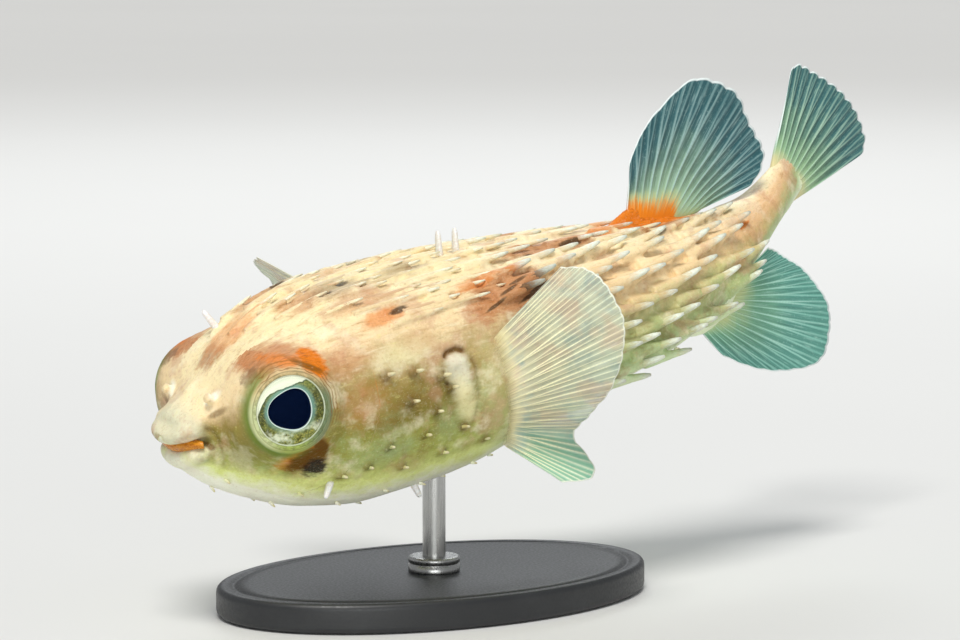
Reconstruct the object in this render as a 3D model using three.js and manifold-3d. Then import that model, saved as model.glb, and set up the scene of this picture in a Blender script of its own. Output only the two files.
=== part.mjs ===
// A porcupine pufferfish, life size, swimming with its quills laid back, held on a plain display stand.
//
// Units are millimetres and +Z is up. The fish is first drawn level in its own frame: X runs back from
// the tip of the lips, Y runs to the fish's right and Z runs up. It is then tipped head down and set
// over the stand, whose underside is centred on the origin. The head ends up toward -X, the left flank
// toward -Y.

import * as THREE from 'three';
import { mergeVertices } from 'three/addons/utils/BufferGeometryUtils.js';
import Module from 'manifold-3d';

const wasm = await Module();
wasm.setup();

// ---------------------------------------------------------------------------------------------------
// Driving dimensions
// ---------------------------------------------------------------------------------------------------

const GAP = 0.3; // clearance between neighbouring solids

// How the fish hangs in the water
const HEAD_DOWN = 9.5; // degrees the whole fish is tipped
const TAIL_SWING = 27; // degrees the tail turns to the fish's right
const TAIL_RISE = 23; // degrees the tail turns up
const TAIL_TWIST = 19; // degrees the tail stem rolls
const BEND_START = 86; // where along the spine the bend begins
const BEND_END = 158; // and where it is complete

// Body sections, from the lips to the root of the tail fin
const SECTIONS = [
  { at: 4, half: 5.2, top: 3.1, bottom: 5.8 }, // behind the lips
  { at: 8, half: 8.0, top: 5.9, bottom: 9.7 }, // muzzle
  { at: 15, half: 13.6, top: 12.2, bottom: 14.2 }, // eyes
  { at: 24, half: 17.8, top: 16.5, bottom: 18.0 },
  { at: 36, half: 19.8, top: 18.4, bottom: 20.1 }, // cheeks
  { at: 50, half: 20.0, top: 18.5, bottom: 19.8 }, // gill openings
  { at: 68, half: 18.2, top: 17.3, bottom: 17.0 },
  { at: 90, half: 14.4, top: 15.0, bottom: 13.2 },
  { at: 110, half: 10.6, top: 11.8, bottom: 9.3 }, // dorsal and anal fins
  { at: 126, half: 6.9, top: 8.1, bottom: 5.0 },
  { at: 138, half: 4.2, top: 5.4, bottom: 3.7 }, // tail stem
  { at: 149, half: 1.9, top: 4.3, bottom: 4.0 },
];
const BODY_START = SECTIONS[0].at;
const BODY_END = SECTIONS.at(-1).at;
const FULLNESS = 2.3; // 2 would make each section an ellipse, more is boxier
const HEAD_END = 50;
const TRUNK_END = 97;
const RINGS_HEAD = 18;
const RINGS_TRUNK = 6;
const RINGS_TAIL = 10;
const RING_POINTS = 26;

// Eyes
const EYE_AT = 17.2; // along the spine
const EYE_OUT = 17.6; // from the midline to the rim of the orbit
const EYE_UP = 2.5;
const EYE_FORWARD = 14; // degrees each eye looks ahead of straight sideways
const EYE_RADIUS = 6.6;
const EYE_SUNK = 3.6; // from the orbit's rim in to the middle of the eyeball
const ORBIT_RADIUS = 6.5;
const ORBIT_BLEND = 11.5; // where the raised orbit has run out into the head

// Mouth, a half ellipse round the tip of the muzzle
const MOUTH_HALF = 7.3;
const MOUTH_FRONT = 2.8; // the middle of the lips, along the spine
const MOUTH_DEPTH = 3.7;
const MOUTH_SLOPE = -0.3; // how much the slit falls for each mm back
const LIP_UPPER = { height: -0.64, radius: 1.85, setBack: 0, droop: -0.6, reach: 90 };
const LIP_LOWER = { height: -6.24, radius: 1.7, setBack: 1.6, droop: 0.5, reach: 90 };
const LINING = { height: -3.75, radius: 0.85, setBack: 1.3, droop: 0, reach: 74 };

// Lip rolls, in shares of their radius
const ROLL_INSET = 0.55; // how far the middle of a roll lies inside the lips' front
const ROLL_WIDTH = 1.25; // how much wider a roll is than high
const ROLL_TAPER = 0.45; // what a roll loses toward the corner of the mouth
const CUT_GROWTH = 1.5; // gaps that a roll's cut is wider than the roll

// Nostrils and gill openings
const NOSTRIL = { at: 8.6, angle: 40, sunk: 1, length: 2.5, rootRadius: 1.15, tipRadius: 0.75 };
const GILL = { at: 47.4, bow: 1.4, top: 15, bottom: -24, endRadius: 0.25, swell: 0.55, depth: 1.3 };

// Fins: u runs over the rays in turn, and each list is spread evenly over u. Of a fin's columns every
// second one is a ray, so each fin has an even number of steps from ray to web.
const FIN_THICK_ROOT = 1.5;
const FIN_THICK_EDGE = 0.62;
const FIN_ROWS = 3;
const WEB_THIN = 0.84; // thickness of the web in shares of the ray's
const RAY_STEP = 0.35; // how much shorter the web is than the rays beside it
const FOOT_SUNK = 1.5; // how far a fleshy foot reaches into the body
const DORSAL = {
  steps: 20, from: 101.5, to: 119, height: [12.8, 9.6], lean: [24, 90],
  length: [12.5, 22, 30, 30.8, 27.6, 25, 17.5],
  foot: { from: 94, to: 121.5, rise: 4.6, halfThick: 2.1, peak: 1.25 },
};
const ANAL = {
  steps: 18, from: 112, to: 126, height: [-9.2, -5.6], lean: [26, 98],
  length: [9, 21.8, 30.8, 28.8, 22.6, 14.4, 9.4],
  foot: { from: 107, to: 129, rise: -3.4, halfThick: 1.9, peak: 0.9 },
};
const TAIL_FIN = {
  steps: 18, aim: 165, spread: [-17, 18], half: 4.0,
  length: [22.9, 28.1, 29.4, 30.6, 31.6, 32.4, 32.8, 32, 26.5],
};
const PECTORAL_STEPS = 20;
const PECTORAL_ROOT = { from: [58.5, 13], to: [60.5, -44] }; // along the spine, degrees above mid-flank
const PECTORAL_FOOT = { at: 57.3, angle: -13, half: [5.2, 9.2, 2.6] };
const PECTORAL_LEFT = {
  middle: [0.84, -0.54, 0], rise: [0.1, 0, 1],
  swing: [40, 36, 31, 25, 18, 9, -2, -16, -30, -38],
  tilt: [9, 12, 14, 15, 17, 16, 5, -14, 4, 24],
  length: [16, 20.5, 22.6, 23.2, 21.5, 18.5, 13.5, 11.5, 16, 12],
};
const PECTORAL_RIGHT = {
  middle: [-0.65, 0.55, 0.52], rise: [-0.53, -0.82, 0.21],
  swing: [5, -2, -9, -18, -24, -31, -38, -46, -57, -66],
  tilt: [5, 7, 9, 12, 13, 15, 16, 17, 17, 17],
  length: [24, 25.5, 26.2, 27, 27.5, 27.5, 27, 24, 19, 13.5],
};

// Quills
const QUILL_ROW_STEP = 7.6; // between rows along the body
const QUILL_SPACING = 7.4; // between quills round a row
const QUILL_FIRST = 24; // the foremost row
const QUILL_LAST = 128; // where the tips of the last row end
const QUILL_MARGIN = 2; // from a cut to the next row of roots
const QUILL_BACK = 8; // length on the back
const QUILL_FLANK = 6.6; // length on the flanks
const QUILL_RADIUS = 1.0;
const QUILL_SUNK = 1.2;
const QUILL_LIFT = [7, 11]; // degrees off the skin on the back and on the flanks
const QUILL_EDGE = { cheek: 58, nape: 26, from: 24, over: 30, flank: -46, flankFrom: 60 }; // lowest angle
const QUILL_BACK_EDGE = 70; // degrees from the middle of the back where flank lengths begin
const QUILL_BACK_BLEND = 30;
const QUILL_SHRINK = { from: 104, over: 28, to: 0.6 }; // toward the tail they get shorter
const BARE_DORSAL = { from: 92, to: 124, above: 66 }; // no quills round the feet of the fins
const BARE_PECTORAL = { from: 46, to: 66, below: 24 };
const SPINE_SUNK = 1.5;
const SPINE_RADII = [0.62, 0.42]; // at the root and at the blunt tip

// The few spines that stand straight up from the skin: place, degrees, length, degrees of lean back
const ERECT = [
  { s: 18.4, angle: 106, length: 3.9, lean: 2 },
  { s: 58.9, angle: 83, length: 4.2, lean: -4 },
  { s: 62.3, angle: 83, length: 4.2, lean: -3 },
  { s: 24.3, angle: -41, length: 3.0, lean: -30 },
  { s: 21.6, angle: -84, length: 1.8, lean: 0 },
  { s: 44.4, angle: -70, length: 2.0, lean: 10 },
];

// Stand
const BASE_CENTRE = 56; // back from the lips to the middle of the base
const BASE_LENGTH = 82;
const BASE_WIDTH = 52;
const BASE_HEIGHT = 5;
const BASE_EDGE = 1.2; // the chamfer round its top
const LIP_HEIGHT = 33; // from the floor up to the origin of the fish's own frame
const ROD_RADIUS = 2;
const COLLAR_RADIUS = 4.5;
const COLLAR_HEIGHT = 2.4;

// ---------------------------------------------------------------------------------------------------
// Curves and frames
// ---------------------------------------------------------------------------------------------------

const { degToRad, clamp, lerp } = THREE.MathUtils;

function smooth(t) {
  const x = clamp(t, 0, 1);
  return x * x * (3 - 2 * x);
}

function signedPower(value, power) {
  return Math.sign(value) * Math.abs(value) ** power;
}

// A list of values spread evenly over 0 to 1
function spread(values, u) {
  const x = clamp(u, 0, 1) * (values.length - 1);
  const i = Math.min(Math.floor(x), values.length - 2);
  return lerp(values[i], values[i + 1], x - i);
}

// A curve through stations that never overshoots them
function monotone(xs, ys) {
  const last = xs.length - 1;
  const chords = xs.slice(1).map((x, i) => (ys[i + 1] - ys[i]) / (x - xs[i]));
  const slopes = xs.map((x, i) => {
    if (i === 0) return chords[0];
    if (i === last) return chords[last - 1];
    if (chords[i - 1] * chords[i] <= 0) return 0;
    const before = xs[i] - xs[i - 1];
    const after = xs[i + 1] - xs[i];
    const a = 2 * after + before;
    const b = after + 2 * before;
    return (a + b) / (a / chords[i - 1] + b / chords[i]);
  });
  return (x) => {
    let i = 0;
    while (i < last - 1 && x > xs[i + 1]) i += 1;
    const h = xs[i + 1] - xs[i];
    const t = clamp((x - xs[i]) / h, 0, 1);
    const t2 = t * t;
    const t3 = t2 * t;
    return (2 * t3 - 3 * t2 + 1) * ys[i] + (t3 - 2 * t2 + t) * h * slopes[i]
      + (3 * t2 - 2 * t3) * ys[i + 1] + (t3 - t2) * h * slopes[i + 1];
  };
}

const stations = SECTIONS.map((section) => section.at);
const halfWidth = monotone(stations, SECTIONS.map((section) => section.half));
const topHeight = monotone(stations, SECTIONS.map((section) => section.top));
const bottomHeight = monotone(stations, SECTIONS.map((section) => section.bottom));

// The direction in which the spine runs back
function spineDirection(s) {
  const bend = smooth((s - BEND_START) / (BEND_END - BEND_START));
  const swing = degToRad(TAIL_SWING) * bend;
  const rise = degToRad(TAIL_RISE) * bend;
  return new THREE.Vector3(
    Math.cos(swing) * Math.cos(rise), Math.sin(swing) * Math.cos(rise), Math.sin(rise),
  );
}

const SPINE_STEP = 0.25;
const SPINE_REACH = 190;
const spinePoints = [new THREE.Vector3()];
for (let s = 0; s < SPINE_REACH; s += SPINE_STEP) {
  const ahead = spineDirection(s + SPINE_STEP / 2);
  spinePoints.push(spinePoints.at(-1).clone().addScaledVector(ahead, SPINE_STEP));
}

// The spine's frame: its centre, and the unit vectors back, to the fish's right and up
function spineAt(s) {
  const x = clamp(s / SPINE_STEP, 0, spinePoints.length - 1.001);
  const i = Math.floor(x);
  const centre = spinePoints[i].clone().lerp(spinePoints[i + 1], x - i);
  const back = spineDirection(s);
  const level = new THREE.Vector3(-back.y, back.x, 0).normalize();
  const above = back.clone().cross(level);
  const bend = smooth((s - BEND_START) / (BEND_END - BEND_START));
  const twist = degToRad(TAIL_TWIST) * bend;
  const up = above.clone().multiplyScalar(Math.cos(twist)).addScaledVector(level, Math.sin(twist));
  const side = level.clone().multiplyScalar(Math.cos(twist)).addScaledVector(above, -Math.sin(twist));
  return { centre, back, side, up };
}

// ---------------------------------------------------------------------------------------------------
// The body's surface
// ---------------------------------------------------------------------------------------------------

// One eye: the middle of its orbit's rim and the way it looks. hand is -1 on the left, 1 on the right.
function eyeFrame(hand) {
  const { centre, back, side, up } = spineAt(EYE_AT);
  const rim = centre.clone().addScaledVector(side, hand * EYE_OUT).addScaledVector(up, EYE_UP);
  const turn = degToRad(EYE_FORWARD);
  const gaze = side.clone().multiplyScalar(hand * Math.cos(turn)).addScaledVector(back, -Math.sin(turn));
  return { rim, gaze };
}

// Pulls the head's surface out to a round orbit about each eye
function raiseOrbits(point) {
  for (const hand of [-1, 1]) {
    const { rim, gaze } = eyeFrame(hand);
    const from = point.clone().sub(rim);
    const depth = from.dot(gaze);
    const around = from.clone().addScaledVector(gaze, -depth).length();
    if (depth > -12 && around < ORBIT_BLEND) {
      const share = 1 - smooth((around - ORBIT_RADIUS) / (ORBIT_BLEND - ORBIT_RADIUS));
      point.addScaledVector(gaze, -depth * share);
    }
  }
  return point;
}

// A point of the skin. angle is in degrees above the middle of the left flank, 90 on the back, 180 on
// the right flank and -90 on the belly.
function skinPoint(s, angle, grow = 0) {
  const { centre, side, up } = spineAt(s);
  const across = -Math.cos(degToRad(angle));
  const rise = Math.sin(degToRad(angle));
  const wide = (halfWidth(s) + grow) * signedPower(across, 2 / FULLNESS);
  const reach = rise >= 0 ? topHeight(s) : bottomHeight(s);
  const high = (reach + grow) * signedPower(rise, 2 / FULLNESS);
  const point = centre.addScaledVector(side, wide).addScaledVector(up, high);
  return s < EYE_AT + ORBIT_BLEND + 2 ? raiseOrbits(point) : point;
}

// The outward direction at a point of the skin
function skinNormal(s, angle) {
  const along = skinPoint(s + 0.5, angle).sub(skinPoint(s - 0.5, angle));
  const around = skinPoint(s, angle + 1).sub(skinPoint(s, angle - 1));
  return along.cross(around).normalize();
}

// ---------------------------------------------------------------------------------------------------
// Solids
// ---------------------------------------------------------------------------------------------------

// A closed geometry as a solid for cutting and joining
function toSolid(geometry) {
  const bare = geometry.clone();
  bare.deleteAttribute('normal');
  bare.deleteAttribute('uv');
  const merged = mergeVertices(bare, 1e-4);
  return new wasm.Manifold(new wasm.Mesh({
    numProp: 3,
    vertProperties: new Float32Array(merged.attributes.position.array),
    triVerts: new Uint32Array(merged.index.array),
  }));
}

function toGeometry(solid) {
  const mesh = solid.getMesh();
  const geometry = new THREE.BufferGeometry();
  geometry.setAttribute('position', new THREE.Float32BufferAttribute(mesh.vertProperties, 3));
  geometry.setIndex([...mesh.triVerts]);
  geometry.computeVertexNormals();
  return geometry;
}

function fromTriangles(points, faces) {
  const geometry = new THREE.BufferGeometry();
  const numbers = points.flatMap((p) => [p.x, p.y, p.z]);
  geometry.setAttribute('position', new THREE.Float32BufferAttribute(numbers, 3));
  geometry.setIndex(faces.flat());
  return toSolid(geometry);
}

// The walls between closed rings of points, each ring running the same way
function ringWalls(rings) {
  const count = rings[0].length;
  const faces = [];
  for (let j = 0; j < rings.length - 1; j += 1) {
    for (let i = 0; i < count; i += 1) {
      const a = j * count + i;
      const b = j * count + (i + 1) % count;
      faces.push([a, b, b + count], [a, b + count, a + count]);
    }
  }
  return faces;
}

function outwardSolid(points, faces) {
  const solid = fromTriangles(points, faces);
  return solid.volume() > 0 ? solid : fromTriangles(points, faces.map(([a, b, c]) => [a, c, b]));
}

// A solid through closed rings, each end closed by a fan about its middle
function ringSolid(rings) {
  const count = rings[0].length;
  const points = rings.flat();
  const faces = ringWalls(rings);
  for (const [ring, first] of [[rings[0], 0], [rings.at(-1), (rings.length - 1) * count]]) {
    const middle = points.length;
    points.push(ring.reduce((sum, p) => sum.add(p), new THREE.Vector3()).divideScalar(count));
    for (let i = 0; i < count; i += 1) {
      const next = first + (i + 1) % count;
      faces.push(first === 0 ? [middle, next, first + i] : [middle, first + i, next]);
    }
  }
  return outwardSolid(points, faces);
}

// A solid through flat rings, each end closed across from its front half to its back half
function plateSolid(rings) {
  const count = rings[0].length;
  const faces = ringWalls(rings);
  const top = (rings.length - 1) * count;
  for (let i = 0; i < count / 2 - 1; i += 1) {
    const far = count - 1 - i;
    faces.push([i, far, i + 1], [i + 1, far, far - 1]);
    faces.push([top + i, top + i + 1, top + far], [top + i + 1, top + far - 1, top + far]);
  }
  return outwardSolid(rings.flat(), faces);
}

// The biggest body of a solid, without the slivers that a cut leaves
function biggest(solid) {
  return solid.decompose().reduce((best, part) => (part.volume() > best.volume() ? part : best));
}

// A length of the body between two places along the spine
function bodyLength(places, grow = 0) {
  return ringSolid(places.map((s) => Array.from(
    { length: RING_POINTS },
    (_, i) => skinPoint(s, 90 + i * 360 / RING_POINTS, grow),
  )));
}

function places(from, to, count, crowding = 1) {
  return Array.from({ length: count + 1 }, (_, i) => lerp(from, to, (i / count) ** crowding));
}

const headPlaces = places(BODY_START, HEAD_END - GAP / 2, RINGS_HEAD, 1.35);
const trunkPlaces = places(HEAD_END + GAP / 2, TRUNK_END - GAP / 2, RINGS_TRUNK);
const tailPlaces = places(TRUNK_END + GAP / 2, BODY_END, RINGS_TAIL);
const clearance = bodyLength([...headPlaces, ...trunkPlaces, ...tailPlaces], GAP);

// A tapered round bar from one point toward another
function spike(root, direction, length, rootRadius, tipRadius, sides) {
  const bar = tipRadius > 0
    ? new THREE.CylinderGeometry(tipRadius, rootRadius, length, sides)
    : new THREE.ConeGeometry(rootRadius, length, sides);
  bar.translate(0, length / 2, 0);
  bar.applyQuaternion(new THREE.Quaternion().setFromUnitVectors(new THREE.Vector3(0, 1, 0), direction));
  bar.translate(root.x, root.y, root.z);
  return toSolid(bar);
}

// An egg-shaped pad lying on the skin
function pad(s, angle, [along, around, out]) {
  const normal = skinNormal(s, angle);
  const back = spineAt(s).back;
  const across = normal.clone().cross(back).normalize();
  const lengthwise = across.clone().cross(normal);
  const ball = new THREE.SphereGeometry(1, 12, 6);
  ball.scale(along, around, out);
  ball.applyMatrix4(new THREE.Matrix4().makeBasis(lengthwise, across, normal));
  const centre = skinPoint(s, angle);
  ball.translate(centre.x, centre.y, centre.z);
  return toSolid(ball);
}

// ---------------------------------------------------------------------------------------------------
// Mouth
// ---------------------------------------------------------------------------------------------------

// A soft roll that follows the mouth from corner to corner
function mouthRoll({ height, radius, setBack, droop, reach }, grow = 0) {
  const steps = 12;
  const sides = 7;
  const rings = [];
  for (let i = 0; i <= steps; i += 1) {
    const turn = degToRad(lerp(-reach, reach, i / steps));
    const corner = Math.abs(Math.sin(turn)) ** 3;
    const back = MOUTH_FRONT + MOUTH_DEPTH * (1 - Math.cos(turn)) + setBack * Math.cos(turn);
    const side = MOUTH_HALF * Math.sin(turn);
    const level = height - MOUTH_SLOPE * back + droop * corner;
    const thick = radius * (1 - ROLL_TAPER * corner) + grow;
    const outward = new THREE.Vector3(-Math.cos(turn) * MOUTH_HALF, Math.sin(turn) * MOUTH_DEPTH, 0);
    outward.normalize();
    const along = new THREE.Vector3(outward.y, -outward.x, 0);
    const end = Number(i === steps) - Number(i === 0);
    const middle = new THREE.Vector3(back, side, level)
      .addScaledVector(outward, -ROLL_INSET * radius)
      .addScaledVector(along, end * grow * CUT_GROWTH);
    rings.push(Array.from({ length: sides }, (_, k) => {
      const around = k / sides * Math.PI * 2;
      return middle.clone()
        .addScaledVector(outward, thick * ROLL_WIDTH * Math.cos(around))
        .add(new THREE.Vector3(0, 0, thick * Math.sin(around)));
    }));
  }
  return ringSolid(rings);
}

// ---------------------------------------------------------------------------------------------------
// Quills
// ---------------------------------------------------------------------------------------------------

// True where no quill grows
function isBare(s, angle) {
  const flank = 90 - Math.abs(angle - 90);
  const underDorsal = s > BARE_DORSAL.from && s < BARE_DORSAL.to && flank > BARE_DORSAL.above;
  const byPectoral = s > BARE_PECTORAL.from && s < BARE_PECTORAL.to && flank < BARE_PECTORAL.below;
  return underDorsal || byPectoral;
}

// The lowest angle that quills reach at a place along the body
function quillEdge(s) {
  const { cheek, nape, from, over, flank, flankFrom } = QUILL_EDGE;
  return s < flankFrom ? lerp(cheek, nape, smooth((s - from) / over)) : flank;
}

// The large quills of one length of the body, laid back in staggered rows that end before its cut
function quillPlaces(from, to) {
  const found = [];
  const rows = Math.floor((to - from - QUILL_BACK) / QUILL_ROW_STEP);
  for (let row = 0; row <= rows; row += 1) {
    const s = from + row * QUILL_ROW_STEP;
    const perDegree = degToRad((halfWidth(s) + topHeight(s)) / 2);
    const pitch = QUILL_SPACING / perDegree;
    const columns = Math.floor((90 - quillEdge(s)) / pitch);
    for (let k = -columns; k <= columns; k += 1) {
      const angle = 90 + (k + (row % 2 ? 0.5 : 0)) * pitch;
      const onBack = smooth((QUILL_BACK_EDGE - Math.abs(90 - angle)) / QUILL_BACK_BLEND);
      const shrink = lerp(1, QUILL_SHRINK.to, smooth((s - QUILL_SHRINK.from) / QUILL_SHRINK.over));
      const length = lerp(QUILL_FLANK, QUILL_BACK, onBack) * shrink;
      if (!isBare(s, angle)) found.push({ s, angle, length, onBack });
    }
  }
  return found;
}

function quill({ s, angle, length, onBack }) {
  const normal = skinNormal(s, angle);
  const back = skinPoint(s + 1, angle).sub(skinPoint(s - 1, angle)).normalize();
  const lift = degToRad(lerp(QUILL_LIFT[1], QUILL_LIFT[0], onBack));
  const lie = back.multiplyScalar(Math.cos(lift)).addScaledVector(normal, Math.sin(lift));
  const root = skinPoint(s, angle).addScaledVector(lie, -QUILL_SUNK);
  return spike(root, lie, length + QUILL_SUNK, QUILL_RADIUS, 0, 3);
}

function erectSpine({ s, angle, length, lean }) {
  const normal = skinNormal(s, angle);
  const tilt = degToRad(lean);
  const out = normal.multiplyScalar(Math.cos(tilt)).addScaledVector(spineAt(s).back, Math.sin(tilt));
  const root = skinPoint(s, angle).addScaledVector(out, -SPINE_SUNK);
  return spike(root, out.normalize(), length + SPINE_SUNK, ...SPINE_RADII, 6);
}

function withQuills(body, from, to) {
  const spikes = [
    ...quillPlaces(Math.max(from + QUILL_MARGIN, QUILL_FIRST), Math.min(to, QUILL_LAST)).map(quill),
    ...ERECT.filter(({ s }) => s > from && s < to).map(erectSpine),
  ];
  return body.add(wasm.Manifold.union(spikes));
}

// ---------------------------------------------------------------------------------------------------
// Fins
// ---------------------------------------------------------------------------------------------------

// A thin ribbed plate: rootAt(u) and tipAt(u) give the ends of the ray at u, and every second column is
// a ray, thicker and longer than the web between
function finPlate(columns, rootAt, tipAt) {
  const at = (i, v) => {
    const u = i / columns;
    const root = rootAt(u);
    const tip = tipAt(u);
    const full = tip.clone().sub(root);
    const web = i % 2 ? 1 - RAY_STEP / full.length() * v : 1;
    return root.add(full.multiplyScalar(v * web));
  };
  const rings = [];
  for (let j = 0; j <= FIN_ROWS; j += 1) {
    const v = j / FIN_ROWS;
    const thick = lerp(FIN_THICK_ROOT, FIN_THICK_EDGE, v ** 0.6);
    const front = [];
    const behind = [];
    for (let i = 0; i <= columns; i += 1) {
      const here = at(i, v);
      const across = at(Math.min(i + 2, columns), v).sub(at(Math.max(i - 2, 0), v));
      const along = at(i, Math.min(v + 0.1, 1)).sub(at(i, Math.max(v - 0.1, 0)));
      const normal = across.cross(along).normalize();
      const half = thick / 2 * (i % 2 ? WEB_THIN : 1);
      front.push(here.clone().addScaledVector(normal, half));
      behind.unshift(here.clone().addScaledVector(normal, -half));
    }
    rings.push([...front, ...behind]);
  }
  return plateSolid(rings);
}

// The fleshy foot of a fin on the back or belly
function finFoot({ from, to, rise, halfThick, peak }) {
  const steps = 9;
  const sides = 6;
  const sign = Math.sign(rise);
  const rings = [];
  for (let i = 0; i <= steps; i += 1) {
    const u = i / steps;
    const { centre, side, up } = spineAt(lerp(from, to, u));
    const surface = sign > 0 ? topHeight(lerp(from, to, u)) : -bottomHeight(lerp(from, to, u));
    const swell = Math.max(Math.sin(Math.PI * u ** peak), 0.05) ** 0.7;
    rings.push(Array.from({ length: sides }, (_, k) => {
      const around = k / sides * Math.PI * 2;
      const full = rise + sign * FOOT_SUNK;
      const high = surface - sign * FOOT_SUNK + full * swell * (1 + Math.cos(around)) / 2;
      return centre.clone()
        .addScaledVector(side, halfThick * swell * Math.sin(around))
        .addScaledVector(up, high);
    }));
  }
  return ringSolid(rings);
}

// A fin on the back or belly, its rays fanned from upright to laid back
function medianFin({ steps, from, to, height, lean, length, foot }) {
  const frame = spineAt((from + to) / 2);
  const sign = Math.sign(height[0]);
  const rootAt = (u) => {
    const { centre, up } = spineAt(lerp(from, to, u));
    return centre.addScaledVector(up, lerp(height[0], height[1], u));
  };
  const tipAt = (u) => {
    const angle = degToRad(lerp(lean[0], lean[1], u));
    const reach = spread(length, u);
    return rootAt(u)
      .addScaledVector(frame.up, sign * Math.cos(angle) * reach)
      .addScaledVector(frame.back, Math.sin(angle) * reach);
  };
  return finPlate(steps, rootAt, tipAt).add(finFoot(foot)).subtract(clearance);
}

function tailFin() {
  const { steps, aim, spread: fan, half, length } = TAIL_FIN;
  const frame = spineAt(aim);
  const root = spineAt(BODY_END - 1);
  const rootAt = (u) => root.centre.clone().addScaledVector(root.up, lerp(half, -half, u));
  const tipAt = (u) => {
    const angle = degToRad(lerp(fan[0], fan[1], u));
    return rootAt(u)
      .addScaledVector(frame.back, Math.cos(angle) * spread(length, u))
      .addScaledVector(frame.up, -Math.sin(angle) * spread(length, u));
  };
  return finPlate(steps, rootAt, tipAt).subtract(clearance);
}

// A pectoral fin, its rays turned about the middle ray by swing and out of the fin's plane by tilt
function pectoralFin({ middle, rise, swing, tilt, length }, hand) {
  const ahead = new THREE.Vector3(...middle).normalize();
  const above = new THREE.Vector3(...rise);
  above.addScaledVector(ahead, -above.dot(ahead)).normalize();
  const out = ahead.clone().cross(above);
  const rayAt = (u) => {
    const turn = degToRad(spread(swing, u));
    const lift = degToRad(spread(tilt, u));
    return ahead.clone().multiplyScalar(Math.cos(turn)).addScaledVector(above, Math.sin(turn))
      .multiplyScalar(Math.cos(lift)).addScaledVector(out, Math.sin(lift));
  };
  const mirrored = (angle) => (hand < 0 ? angle : 180 - angle);
  const rootAt = (u) => {
    const s = lerp(PECTORAL_ROOT.from[0], PECTORAL_ROOT.to[0], u);
    return skinPoint(s, mirrored(lerp(PECTORAL_ROOT.from[1], PECTORAL_ROOT.to[1], u)));
  };
  const tipAt = (u) => rootAt(u).addScaledVector(rayAt(u), spread(length, u));
  const foot = pad(PECTORAL_FOOT.at, mirrored(PECTORAL_FOOT.angle), PECTORAL_FOOT.half);
  return finPlate(PECTORAL_STEPS, rootAt, tipAt).add(foot).subtract(clearance);
}

// ---------------------------------------------------------------------------------------------------
// Head
// ---------------------------------------------------------------------------------------------------

function eyeball(hand, grow = 0) {
  const { rim, gaze } = eyeFrame(hand);
  const ball = new THREE.SphereGeometry(EYE_RADIUS + grow, 18, grow > 0 ? 8 : 10);
  ball.rotateX(Math.PI / 2);
  ball.applyQuaternion(new THREE.Quaternion().setFromUnitVectors(new THREE.Vector3(0, 0, 1), gaze));
  const centre = rim.clone().addScaledVector(gaze, -EYE_SUNK);
  ball.translate(centre.x, centre.y, centre.z);
  return toSolid(ball);
}

// The small upright tube of a nostril
function nostril(hand) {
  const { at, sunk, length, rootRadius, tipRadius } = NOSTRIL;
  const angle = hand < 0 ? NOSTRIL.angle : 180 - NOSTRIL.angle;
  const out = skinNormal(at, angle);
  return spike(skinPoint(at, angle).addScaledVector(out, -sunk), out, length, rootRadius, tipRadius, 8);
}

// The groove of a gill opening, a bow standing on the flank
function gillGroove(hand) {
  const steps = 8;
  const sides = 6;
  const rings = [];
  for (let i = 0; i <= steps; i += 1) {
    const u = i / steps;
    const angle = lerp(GILL.top, GILL.bottom, u);
    const s = GILL.at + GILL.bow * (2 * u - 1) ** 2;
    const turned = hand < 0 ? angle : 180 - angle;
    const middle = skinPoint(s, turned);
    const normal = skinNormal(s, turned);
    const radius = GILL.endRadius + GILL.swell * Math.sin(Math.PI * u) ** 0.5;
    rings.push(Array.from({ length: sides }, (_, k) => {
      const around = (k + 0.5) / sides * Math.PI * 2;
      return middle.clone()
        .addScaledVector(normal, GILL.depth * radius * Math.cos(around))
        .addScaledVector(spineAt(s).back, radius * Math.sin(around));
    }));
  }
  return ringSolid(rings);
}

function head() {
  const rolls = [LIP_UPPER, LIP_LOWER, LINING].map((roll) => mouthRoll(roll, GAP * CUT_GROWTH));
  const cuts = [...rolls, eyeball(-1, GAP), eyeball(1, GAP), gillGroove(-1), gillGroove(1)];
  const whole = bodyLength(headPlaces).add(nostril(-1)).add(nostril(1));
  return withQuills(biggest(whole.subtract(wasm.Manifold.union(cuts))), 0, HEAD_END);
}

// ---------------------------------------------------------------------------------------------------
// Stand
// ---------------------------------------------------------------------------------------------------

function standBase() {
  const radius = BASE_LENGTH / 2;
  const profile = [
    [0, 0], [radius - BASE_EDGE / 2, 0], [radius, BASE_EDGE / 2], [radius, BASE_HEIGHT - BASE_EDGE],
    [radius - BASE_EDGE, BASE_HEIGHT], [0, BASE_HEIGHT],
  ].map(([x, y]) => new THREE.Vector2(x, y));
  const disc = new THREE.LatheGeometry(profile, 32);
  disc.rotateX(Math.PI / 2);
  disc.scale(1, BASE_WIDTH / BASE_LENGTH, 1);
  return toSolid(disc);
}

function upright(radius, bottom, top, sides) {
  const bar = new THREE.CylinderGeometry(radius, radius, top - bottom, sides);
  bar.rotateX(Math.PI / 2);
  bar.translate(0, 0, (top + bottom) / 2);
  return toSolid(bar);
}

// ---------------------------------------------------------------------------------------------------
// Scene graph
// ---------------------------------------------------------------------------------------------------

const FLESH = { color: 0xe9c79c, roughness: 0.55, metalness: 0 };
const LIP = { color: 0xe6e2c4, roughness: 0.5, metalness: 0 };
const LINING_ORANGE = { color: 0xd98a3d, roughness: 0.5, metalness: 0 };
const EYE_DARK = { color: 0x1c2336, roughness: 0.12, metalness: 0 };
const FIN = { color: 0xc9cfae, roughness: 0.5, metalness: 0 };
const STAND = { color: 0x2b2d30, roughness: 0.45, metalness: 0.2 };

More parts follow.
